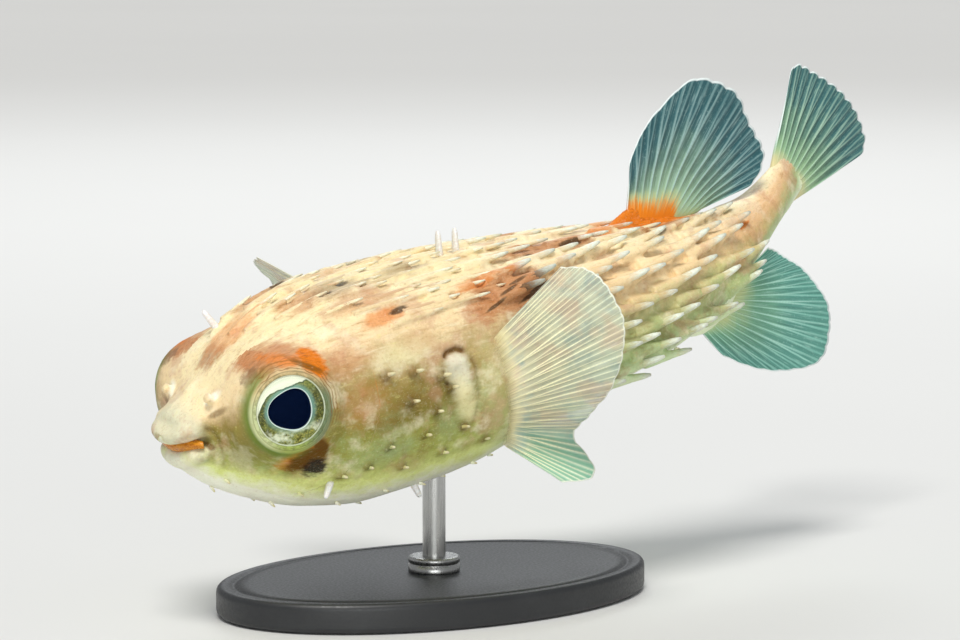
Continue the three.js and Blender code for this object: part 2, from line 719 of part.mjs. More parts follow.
function addPiece(group, name, solid, look) {
  const mesh = new THREE.Mesh(toGeometry(solid), new THREE.MeshStandardMaterial(look));
  mesh.name = name;
  group.add(mesh);
  return mesh;
}

const fish = new THREE.Group();
fish.rotation.y = -degToRad(HEAD_DOWN);
fish.position.set(-BASE_CENTRE, 0, LIP_HEIGHT);
fish.updateMatrixWorld(true);

const lipUpper = mouthRoll(LIP_UPPER);
const lipLower = mouthRoll(LIP_LOWER);
const lining = mouthRoll(LINING)
  .subtract(mouthRoll(LIP_UPPER, GAP))
  .subtract(mouthRoll(LIP_LOWER, GAP));

addPiece(fish, 'head', head(), FLESH);
addPiece(fish, 'trunk', withQuills(bodyLength(trunkPlaces), HEAD_END, TRUNK_END), FLESH);
addPiece(fish, 'tail', withQuills(bodyLength(tailPlaces), TRUNK_END, BODY_END), FLESH);
addPiece(fish, 'lip_upper', lipUpper, LIP);
addPiece(fish, 'lip_lower', lipLower, LIP);
addPiece(fish, 'mouth_lining', lining, LINING_ORANGE);
addPiece(fish, 'eye_left', eyeball(-1), EYE_DARK);
addPiece(fish, 'eye_right', eyeball(1), EYE_DARK);
addPiece(fish, 'fin_dorsal', medianFin(DORSAL), FIN);
addPiece(fish, 'fin_anal', medianFin(ANAL), FIN);
addPiece(fish, 'fin_tail', tailFin(), FIN);
addPiece(fish, 'fin_pectoral_left', pectoralFin(PECTORAL_LEFT, -1), FIN);
addPiece(fish, 'fin_pectoral_right', pectoralFin(PECTORAL_RIGHT, 1), FIN);

const root = new THREE.Group();
root.add(fish);

const worldClearance = clearance.transform(fish.matrixWorld.elements);
const rod = upright(ROD_RADIUS, BASE_HEIGHT + GAP, LIP_HEIGHT, 16).subtract(worldClearance);
const collar = upright(COLLAR_RADIUS, BASE_HEIGHT + GAP, BASE_HEIGHT + GAP + COLLAR_HEIGHT, 24)
  .subtract(upright(ROD_RADIUS + GAP, BASE_HEIGHT, BASE_HEIGHT + COLLAR_HEIGHT + 2, 16));
addPiece(root, 'stand_base', standBase(), STAND);
addPiece(root, 'stand_rod', rod, STAND);
addPiece(root, 'stand_collar', collar, STAND);

export default root;
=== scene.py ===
"""Dresses a life-size porcupine pufferfish, still on its plain display stand.

The fish is drawn level in its own frame, in millimetres: X runs back from the lips, Y to its right and Z
up. It is then tipped head down and set over the stand, in metres. A place on the body is how far back it
lies along the spine and an angle in degrees above the middle of the left flank, with 90 on the back.
"""

import sys
import logging
import math
from dataclasses import dataclass, field
from enum import Enum
from typing import Iterable, Mapping, Sequence, Union

import bpy
import numpy as np
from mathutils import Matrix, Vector, noise
from mathutils.kdtree import KDTree


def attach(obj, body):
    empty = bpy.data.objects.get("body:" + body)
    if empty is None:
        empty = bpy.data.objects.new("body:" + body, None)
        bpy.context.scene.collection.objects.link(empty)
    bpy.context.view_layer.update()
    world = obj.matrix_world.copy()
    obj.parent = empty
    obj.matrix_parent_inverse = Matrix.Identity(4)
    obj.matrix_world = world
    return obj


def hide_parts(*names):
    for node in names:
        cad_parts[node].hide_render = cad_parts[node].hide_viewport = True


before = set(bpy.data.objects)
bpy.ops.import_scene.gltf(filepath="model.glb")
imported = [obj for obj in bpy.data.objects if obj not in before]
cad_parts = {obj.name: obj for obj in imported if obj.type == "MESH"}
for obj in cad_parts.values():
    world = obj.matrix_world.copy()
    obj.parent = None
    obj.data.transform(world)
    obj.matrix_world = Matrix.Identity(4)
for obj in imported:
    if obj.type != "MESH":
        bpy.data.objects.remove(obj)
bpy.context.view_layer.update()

BODY = "root"
MM = 0.001
BAKE_MAP = "OFBake"
EVEN = (1, 1, 1)
DRUM = 0.35  # millimetres of marking for each degree round the body

Array = np.ndarray
Numbers = Union[Array, float]
Term = Union["Value", float]
Triple = tuple[float, float, float]
Colour = Triple
Profile = tuple[tuple[float, float], ...]
Ladder = tuple[tuple[float, Colour], ...]  # colours by their angle above mid-flank
Socket = bpy.types.NodeSocket
Node = bpy.types.Node
Material = bpy.types.Material
log = logging.getLogger("pufferfish")


def smooth(t: Numbers) -> Array:
    """Eases from 0 to 1 as t goes from 0 to 1."""
    x = np.clip(t, 0.0, 1.0)
    return x * x * (3.0 - 2.0 * x)


def ease(value: Numbers, start: float, end: float) -> Array:
    """Eases from 0 at start to 1 at end, in either direction."""
    return smooth((np.asarray(value, float) - start) / (end - start))


def signed_power(value: Array, power: float) -> Array:
    """Raises the size of value to a power and keeps its sign."""
    return np.sign(value) * np.abs(value) ** power


def unit(vectors: Array) -> Array:
    """Scales vectors to a length of 1."""
    return vectors / np.maximum(np.linalg.norm(vectors, axis=-1, keepdims=True), 1e-9)


def circle(count: int) -> Array:
    """Angles in radians, spread evenly round a circle."""
    return np.linspace(0.0, 2 * math.pi, count, endpoint=False)


def between(ends: tuple[float, float], u: Numbers) -> Array:
    """Goes evenly from the first end to the second as u goes from 0 to 1."""
    return ends[0] + (ends[1] - ends[0]) * u


def flank(angle: Numbers) -> Array:
    """The angle above mid-flank, the same on both sides of the fish."""
    return 90.0 - np.abs(np.asarray(angle, float) - 90.0)


def mirrored(angle: Numbers, hand: int) -> Numbers:
    """An angle of the left side, or its twin where hand is 1."""
    return angle if hand < 0 else 180 - angle


def stacked(*parts: Numbers) -> Array:
    """Sets numbers side by side as vectors."""
    return np.stack(np.broadcast_arrays(*parts), -1)


class Curve:
    """A curve through stations that never overshoots them."""

    def __init__(self, xs: Sequence[float], ys: Sequence[float]) -> None:
        """Works out the slopes.

        Args:
            xs: Where the stations lie, rising.
            ys: The value at each.
        """
        self.xs = np.asarray(xs, float)
        self.ys = np.asarray(ys, float)
        steps = np.diff(self.xs)
        chords = np.diff(self.ys) / steps
        slopes = np.concatenate(([chords[0]], np.zeros(len(xs) - 2), [chords[-1]]))
        for i in range(1, len(xs) - 1):
            if chords[i - 1] * chords[i] > 0:
                a = 2 * steps[i] + steps[i - 1]
                b = steps[i] + 2 * steps[i - 1]
                slopes[i] = (a + b) / (a / chords[i - 1] + b / chords[i])
        self.slopes = slopes

    @classmethod
    def even(cls, values: Sequence[float]) -> "Curve":
        """Spreads values evenly over 0 to 1."""
        return cls(np.linspace(0.0, 1.0, len(values)), values)

    def __call__(self, x: Numbers) -> Array:
        """Reads the curve.

        Args:
            x: Where to read it. It is level past its ends.

        Returns:
            The value at each x.
        """
        x = np.clip(np.asarray(x, float), self.xs[0], self.xs[-1])
        i = np.clip(np.searchsorted(self.xs, x, side="right") - 1, 0, len(self.xs) - 2)
        h = self.xs[i + 1] - self.xs[i]
        t = (x - self.xs[i]) / h
        t2, t3 = t * t, t * t * t
        return (
            (2 * t3 - 3 * t2 + 1) * self.ys[i]
            + (t3 - 2 * t2 + t) * h * self.slopes[i]
            + (3 * t2 - 2 * t3) * self.ys[i + 1]
            + (t3 - t2) * h * self.slopes[i + 1]
        )


@dataclass(frozen=True)
class Station:
    """The spine's frame at a number of places: centre, and the ways back, to the right and up."""

    centre: Array
    back: Array
    side: Array
    up: Array

    def ring(self, wide: Array, high: Array) -> Array:
        """Rows of points set off to the right of each centre and up."""
        across = self.side[:, None] * wide[..., None]
        return self.centre[:, None] + across + self.up[:, None] * high[..., None]


@dataclass
class Spine:
    """The line that the body follows, and how the fish hangs over its stand."""

    head_down: float = 9.5
    swing: float = 27.0
    rise: float = 23.0
    twist: float = 19.0
    bend_start: float = 86.0
    bend_end: float = 158.0
    lips_ahead: float = 56.0
    lips_height: float = 33.0
    reach: float = 190.0
    step: float = 0.25

    def __post_init__(self) -> None:
        """Walks along the spine and keeps its points."""
        self.marks = np.arange(0.0, self.reach + self.step, self.step)
        ahead = self.direction(self.marks[:-1] + self.step / 2)
        self.points = np.vstack((np.zeros(3), np.cumsum(ahead * self.step, axis=0)))

    def bend(self, s: Array) -> Array:
        """The share of the tail's bend that is reached at s."""
        return ease(s, self.bend_start, self.bend_end)

    def direction(self, s: Array) -> Array:
        """The way back along the spine at s."""
        swing = np.radians(self.swing) * self.bend(s)
        rise = np.radians(self.rise) * self.bend(s)
        return stacked(np.cos(swing) * np.cos(rise), np.sin(swing) * np.cos(rise), np.sin(rise))

    def at(self, s: Numbers) -> Station:
        """Finds the spine's frame.

        Args:
            s: Places along the spine.

        Returns:
            The frame at each place.
        """
        s = np.asarray(s, float)
        centre = np.stack([np.interp(s, self.marks, self.points[:, k]) for k in range(3)], -1)
        back = self.direction(s)
        level = unit(stacked(-back[..., 1], back[..., 0], 0.0))
        above = np.cross(back, level)
        twist = (np.radians(self.twist) * self.bend(s))[..., None]
        up = above * np.cos(twist) + level * np.sin(twist)
        side = level * np.cos(twist) - above * np.sin(twist)
        return Station(centre, back, side, up)

    def to_world(self, points: Array) -> Array:
        """Tips points of the fish head down, sets them over the stand and turns them to metres."""
        tip = math.radians(self.head_down)
        x, y, z = points[..., 0], points[..., 1], points[..., 2]
        ahead = x * math.cos(tip) - z * math.sin(tip) - self.lips_ahead
        height = x * math.sin(tip) + z * math.cos(tip) + self.lips_height
        return stacked(ahead, y, height) * MM


@dataclass
class Body:
    """The body's surface round the spine, with a raised round orbit about each eye."""

    spine: Spine
    at: tuple[float, ...] = (4, 8, 15, 24, 36, 50, 68, 90, 110, 126, 138, 149)
    halves: tuple[float, ...] = (5.2, 8.0, 13.6, 17.8, 19.8, 20.0, 18.2, 14.4, 10.6, 6.9, 4.2, 1.9)
    tops: tuple[float, ...] = (3.1, 5.9, 12.2, 16.5, 18.4, 18.5, 17.3, 15.0, 11.8, 8.1, 5.4, 4.3)
    bottoms: tuple[float, ...] = (5.8, 9.7, 14.2, 18.0, 20.1, 19.8, 17.0, 13.2, 9.3, 5.0, 3.7, 4.0)
    fullness: float = 2.3
    eye_at: float = 17.2
    eye_out: float = 17.6
    eye_up: float = 2.5
    eye_forward: float = 14.0
    orbit_radius: float = 6.5
    orbit_blend: float = 11.5

    def __post_init__(self) -> None:
        """Draws the curves of width and height along the body."""
        self.half = Curve(self.at, self.halves)
        self.top = Curve(self.at, self.tops)
        self.bottom = Curve(self.at, self.bottoms)

    def eye(self, hand: int) -> tuple[Array, Array, Array, Array]:
        """Finds one eye.

        Args:
            hand: -1 on the left, 1 on the right.

        Returns:
            The middle of the orbit's rim, and the ways out, forward and up.
        """
        station = self.spine.at(self.eye_at)
        rim = station.centre + station.side * hand * self.eye_out + station.up * self.eye_up
        turn = math.radians(self.eye_forward)
        gaze = station.side * hand * math.cos(turn) - station.back * math.sin(turn)
        forward = unit(-station.back - gaze * np.dot(-station.back, gaze))
        return rim, gaze, forward, station.up

    def orbit(self, points: Array, hand: int) -> tuple[Array, Array]:
        """How far points lie out along an eye's gaze, and how far from its axis."""
        rim, gaze, _, _ = self.eye(hand)
        away = points - rim
        depth = away @ gaze
        return depth, np.linalg.norm(away - depth[..., None] * gaze, axis=-1)

    def point(self, s: Numbers, angle: Numbers, grow: float = 0.0) -> Array:
        """Finds points of the skin.

        Args:
            s: How far back.
            angle: How far round.
            grow: How far the skin is blown up.

        Returns:
            The points.
        """
        s, angle = np.broadcast_arrays(np.asarray(s, float), np.asarray(angle, float))
        station = self.spine.at(s)
        turn = np.radians(angle)
        rise = np.sin(turn)
        wide = (self.half(s) + grow) * signed_power(-np.cos(turn), 2 / self.fullness)
        reach = np.where(rise >= 0, self.top(s), self.bottom(s)) + grow
        high = reach * signed_power(rise, 2 / self.fullness)
        points = station.centre + station.side * wide[..., None] + station.up * high[..., None]
        for hand in (-1, 1):
            depth, around = self.orbit(points, hand)
            share = 1 - ease(around, self.orbit_radius, self.orbit_blend)
            share = np.where(depth > -12, share, 0.0)
            points = points - self.eye(hand)[1] * (depth * share)[..., None]
        return points

    def normal(self, s: Numbers, angle: Numbers) -> Array:
        """The outward directions at places of the skin."""
        along = self.point(s + 0.5, angle) - self.point(s - 0.5, angle)
        around = self.point(s, angle + 1) - self.point(s, angle - 1)
        return unit(np.cross(along, around))

    def stretch(self, s: float, angle: float) -> float:
        """How many millimetres of skin there are to a millimetre of spine."""
        return float(np.linalg.norm(self.point(s + 0.5, angle) - self.point(s - 0.5, angle)))

    def lie(self, s: Numbers, angle: Numbers) -> Array:
        """The directions straight back over the skin."""
        return unit(self.point(s + 1, angle) - self.point(s - 1, angle))

    def place(self, points: Array) -> tuple[Array, Array, Array]:
        """Finds where points lie.

        Args:
            points: Points of the fish.

        Returns:
            How far back, the angle, and the place on a body drawn straight.
        """
        s = np.clip(points[:, 0], 0.0, self.spine.reach)
        for _ in range(8):
            station = self.spine.at(s)
            s = s + np.sum((points - station.centre) * station.back, axis=-1)
        station = self.spine.at(s)
        off = points - station.centre
        wide = np.sum(off * station.side, axis=-1)
        high = np.sum(off * station.up, axis=-1)
        across = signed_power(wide / self.half(s), self.fullness / 2)
        reach = np.where(high >= 0, self.top(s), self.bottom(s))
        rise = signed_power(high / reach, self.fullness / 2)
        angle = np.degrees(np.arctan2(rise, -across))
        angle = np.where(angle < -90, angle + 360, angle)
        return s, angle, stacked(s, wide, high)


@dataclass
class Form:
    """Points of the fish with faces, and values kept at each point."""

    points: Array
    faces: list[list[int]]
    marks: dict[str, Array] = field(default_factory=dict)
    unwrap: Array | None = None


def lattice(points: Array) -> Form:
    """Joins rows of points, each running round, into a closed surface.

    Args:
        points: The points, by rows and columns.

    Returns:
        The surface.
    """
    rows, columns = points.shape[:2]
    index = np.arange(rows * columns).reshape(rows, columns)
    ahead = np.roll(index, -1, axis=1)
    faces = np.stack((index[:-1], ahead[:-1], ahead[1:], index[1:]), -1).reshape(-1, 4).tolist()
    for i in range(columns):
        faces.append([rows * columns, int(ahead[0, i]), int(index[0, i])])
        faces.append([rows * columns + 1, int(index[-1, i]), int(ahead[-1, i])])
    return Form(np.vstack((points.reshape(-1, 3), points[0].mean(axis=0), points[-1].mean(axis=0))), faces)


def join(forms: Iterable[Form]) -> Form:
    """Joins forms into one, with the values and unwraps that they all keep."""
    forms = list(forms)
    starts = np.cumsum([0] + [len(form.points) for form in forms[:-1]])
    faces = [[i + int(start) for i in face] for form, start in zip(forms, starts) for face in form.faces]
    marks = {name: np.concatenate([form.marks[name] for form in forms]) for name in forms[0].marks}
    unwraps = [form.unwrap for form in forms]
    unwrap = None if any(u is None for u in unwraps) else np.concatenate(unwraps)
    return Form(np.vstack([form.points for form in forms]), faces, marks, unwrap)


def square_to(direction: Array, toward: Array) -> tuple[Array, Array]:
    """Two ways across a direction, the first as close to toward as it can be."""
    first = unit(toward - direction * np.dot(toward, direction))
    return first, np.cross(direction, first)


def rod(path: Array, radii: Array, toward: Array, sides: int = 8, flat: float = 1.0) -> Form:
    """Lofts a round rod along a path.

    Args:
        path: The points that it follows.
        radii: Its radius at each.
        toward: The way that its flatter side looks.
        sides: How many sides it has.
        flat: Its height over its width.

    Returns:
        The closed rod.
    """
    along = unit(np.gradient(path, axis=0))
    turns = circle(sides)
    rows = []
    for centre, way, radius in zip(path, along, radii):
        up, side = square_to(way, toward)
        ring = np.outer(np.cos(turns) * flat, up) + np.outer(np.sin(turns), side)
        rows.append(centre + ring * radius)
    return lattice(np.asarray(rows))


class Value:
    """A number that varies over a surface. Arithmetic on it adds Math nodes."""

    def __init__(self, finish: "Finish", socket: Socket) -> None:
        """Wraps the socket of a finish."""
        self.finish = finish
        self.socket = socket

    def math(self, operation: str, *others: Term) -> "Value":
        """Adds a Math node on this and others."""
        return self.finish.math(operation, self, *others)

    def __add__(self, other: Term) -> "Value":
        """Adds."""
        return self.math("ADD", other)

    __radd__ = __add__

    def __mul__(self, other: Term) -> "Value":
        """Multiplies."""
        return self.math("MULTIPLY", other)

    __rmul__ = __mul__

    def __sub__(self, other: Term) -> "Value":
        """Takes other away."""
        return self.math("SUBTRACT", other)

    def __rsub__(self, other: float) -> "Value":
        """Takes this away from other."""
        return self.finish.math("SUBTRACT", other, self)

    def __truediv__(self, other: Term) -> "Value":
        """Divides by other."""
        return self.math("DIVIDE", other)

    def __pow__(self, power: float) -> "Value":
        """Raises to a power."""
        return self.math("POWER", power)

    def size(self) -> "Value":
        """The number without its sign."""
        return self.math("ABSOLUTE")

    def high(self, other: Term) -> "Value":
        """The larger of two."""
        return self.math("MAXIMUM", other)

    def ease(self, start: float, end: float, low: float = 0, high: float = 1) -> "Value":
        """Eases between two results.

        Args:
            start: Where the result begins to change.
            end: Where it has changed.
            low: The result at start.
            high: The result at end.

        Returns:
            The eased value.
        """
        if start > end:
            start, end, low, high = end, start, high, low
        limits = {"Value": self, "From Min": start, "From Max": end, "To Min": low, "To Max": high}
        node = self.finish.node("ShaderNodeMapRange", {"interpolation_type": "SMOOTHSTEP"}, limits)
        return Value(self.finish, node.outputs["Result"])

    def band(self, middle: float, half: float) -> "Value":
        """A soft band that is 1 at middle and 0 half away on either side."""
        return (self - middle).size().ease(half, 0)


class Finish:
    """A material in the making."""

    def __init__(self, name: str) -> None:
        """Starts an empty material of that name."""
        self.material = bpy.data.materials.new(name)
        self.material.use_nodes = True
        self.tree = self.material.node_tree
        self.tree.nodes.clear()

    def node(self, kind: str, settings: Mapping[str, object], inputs: Mapping[str | int, object]) -> Node:
        """Adds a node.

        Args:
            kind: Its type.
            settings: Its settings, set first. "stops" holds a ramp's places and colours.
            inputs: The values or links of its sockets.

        Returns:
            The node.
        """
        node = self.tree.nodes.new(kind)
        for name, setting in settings.items():
            if name == "stops":
                while len(node.color_ramp.elements) < len(setting):
                    node.color_ramp.elements.new(1)
                for element, (place, colour) in zip(node.color_ramp.elements, setting):
                    element.position = place
                    element.color = (*colour, 1)
            else:
                setattr(node, name, setting)
        for name, value in inputs.items():
            socket = node.inputs[name]
            value = value.socket if isinstance(value, Value) else value
            if isinstance(value, Socket):
                self.tree.links.new(value, socket)
            elif socket.type == "RGBA" and len(value) == 3:
                socket.default_value = (*value, 1)
            else:
                socket.default_value = value
        return node

    def math(self, operation: str, *terms: Term) -> Value:
        """Adds a Math node on one to three terms."""
        node = self.node("ShaderNodeMath", {"operation": operation}, dict(enumerate(terms)))
        return Value(self, node.outputs[0])

    def vector(self, operation: str, *terms: object) -> Node:
        """Adds a Vector Math node."""
        return self.node("ShaderNodeVectorMath", {"operation": operation}, dict(enumerate(terms)))

    def moved(self, vector: Socket, way: Triple) -> Socket:
        """A vector moved by another."""
        return self.vector("ADD", vector, way).outputs["Vector"]

    def length(self, vector: Socket) -> Value:
        """The length of a vector."""
        return Value(self, self.vector("LENGTH", vector).outputs["Value"])

    def kept(self, name: str) -> Socket:
        """The vector that a form keeps at its points under a name."""
        return self.node("ShaderNodeAttribute", {"attribute_name": name}, {}).outputs["Vector"]

    def kept_value(self, name: str) -> Value:
        """The number that a form keeps at its points under a name."""
        return Value(self, self.node("ShaderNodeAttribute", {"attribute_name": name}, {}).outputs["Fac"])

    def split(self, vector: Socket) -> tuple[Value, ...]:
        """The three numbers of a vector."""
        node = self.node("ShaderNodeSeparateXYZ", {}, {0: vector})
        return tuple(Value(self, part) for part in node.outputs)

    def noise(
        self, vector: Socket, scale: float, detail: float = 2, rough: float = 0.5, stretch: Triple = EVEN
    ) -> Value:
        """Adds a noise.

        Args:
            vector: Where it is read, in millimetres.
            scale: Its spots to the millimetre.
            detail: How many finer noises it adds.
            rough: How strong those are.
            stretch: How much denser it is along each axis.

        Returns:
            The noise, about 0.5 on average.
        """
        if stretch != EVEN:
            vector = self.vector("MULTIPLY", vector, stretch).outputs["Vector"]
        inputs = {"Vector": vector, "Scale": scale, "Detail": detail, "Roughness": rough}
        return Value(self, self.node("ShaderNodeTexNoise", {}, inputs).outputs["Fac"])

    def cells(self, vector: Socket, scale: float) -> Value:
        """The distance to the nearest of many scattered points."""
        node = self.node("ShaderNodeTexVoronoi", {}, {"Vector": vector, "Scale": scale})
        return Value(self, node.outputs["Distance"])

    def mix(self, share: Term, first: object, second: object, blend: str = "MIX") -> Socket:
        """Puts a share of the second colour over the first."""
        settings = {"data_type": "RGBA", "blend_type": blend}
        return self.node("ShaderNodeMix", settings, {0: share, 6: first, 7: second}).outputs[2]

    def layers(self, colour: object, *coats: tuple[Term, object]) -> Socket:
        """Lays colours over one another.

        Args:
            colour: The lowest.
            coats: The share and colour of each further one.

        Returns:
            The colour on top.
        """
        for share, tint in coats:
            colour = self.mix(share, colour, tint)
        return colour

    def bump(self, height: Value, distance: float, strength: float = 1) -> Socket:
        """Turns a height into a normal, distance being how many millimetres a height of 1 is."""
        inputs = {"Height": height, "Distance": distance * MM, "Strength": strength}
        return self.node("ShaderNodeBump", {}, inputs).outputs["Normal"]

    def surface(self, sockets: Mapping[str, object]) -> Node:
        """Adds the main shader with these sockets."""
        return self.node("ShaderNodeBsdfPrincipled", {}, sockets)

    def done(self, shader: Node) -> Material:
        """Puts a shader on the surface and hands over the material."""
        self.node("ShaderNodeOutputMaterial", {}, {"Surface": shader.outputs[0]})
        return self.material

    def dressed(self, sockets: Mapping[str, object]) -> Material:
        """Puts the main shader on the surface and hands over the material."""
        return self.done(self.surface(sockets))


def toned(colour: Colour, factor: float, most: float = 1) -> Colour:
    """A colour made darker or lighter by a factor."""
    return tuple(min(most, part * factor) for part in colour)


class Pigment(Enum):
    """The colours that the hide's blotches are made of."""

    PALE = (0.94, 0.93, 0.78)
    CREAM = (0.84, 0.76, 0.42)
    ROSE = (0.52, 0.2, 0.07)
    ASH = (0.21, 0.14, 0.085)
    ORANGE = (0.76, 0.2, 0.008)
    RUST = (0.13, 0.058, 0.001)
    MINT = (0.34, 0.44, 0.2)
    OLIVE = (0.2, 0.2, 0.022)
    INK = (0.014, 0.01, 0.005)


@dataclass(frozen=True)
class Blotch:
    """An oval blotch of one pigment on both flanks: its place, half sizes in millimetres and turn.

    Its place is how far back it lies and its angle, or round the eye, millimetres forward and up.
    """

    pigment: Pigment
    at: float
    angle: float
    along: float
    across: float
    turn: float = 0
    share: float = 1
    edge: float = 0.35
    ragged: float = 0.75
    by_eye: bool = False

    def cover(self, finish: Finish, place: Socket, wander: Value) -> Value:
        """How much of its pigment there is.

        Args:
            finish: The finish in the making.
            place: The place on the body or by the eye.
            wander: A noise round 0 that makes the edge wander.

        Returns:
            The share of the pigment.
        """
        inputs = {
            "Vector": place, "Location": (self.at, self.angle * (1 if self.by_eye else DRUM), 0),
            "Rotation": (0, 0, math.radians(self.turn)), "Scale": (self.along, self.across, 1),
        }
        oval = finish.node("ShaderNodeMapping", {"vector_type": "TEXTURE"}, inputs).outputs[0]
        away = finish.length(oval) + wander * self.ragged
        return away.ease(1 + self.edge, 1 - self.edge, 0, self.share)


def blots(pigment: Pigment, *rows: tuple[float, ...], by_eye: bool = False) -> tuple[Blotch, ...]:
    """Makes blotches of one pigment from rows of their sizes."""
    return tuple(Blotch(pigment, *row, by_eye=by_eye) for row in rows)


@dataclass(frozen=True)
class Lid:
    """The lid round an eye: grey green behind, yellow green below, pale in front and a warm cream above."""

    behind: Colour = (0.17, 0.22, 0.12)
    below: Colour = (0.36, 0.43, 0.11)
    front: Colour = (0.66, 0.7, 0.4)
    above: Colour = (0.66, 0.5, 0.26)

    def colour(self, finish: Finish, ahead: Value, above: Value) -> Socket:
        """The lid's colour, by millimetres forward of the eye's middle and above it."""
        side = (ahead.ease(-4.5, 0), self.below), (ahead.ease(1.5, 5.5, 0, 0.8), self.front)
        return finish.layers(self.behind, *side, (above.ease(1, 5.5), self.above))


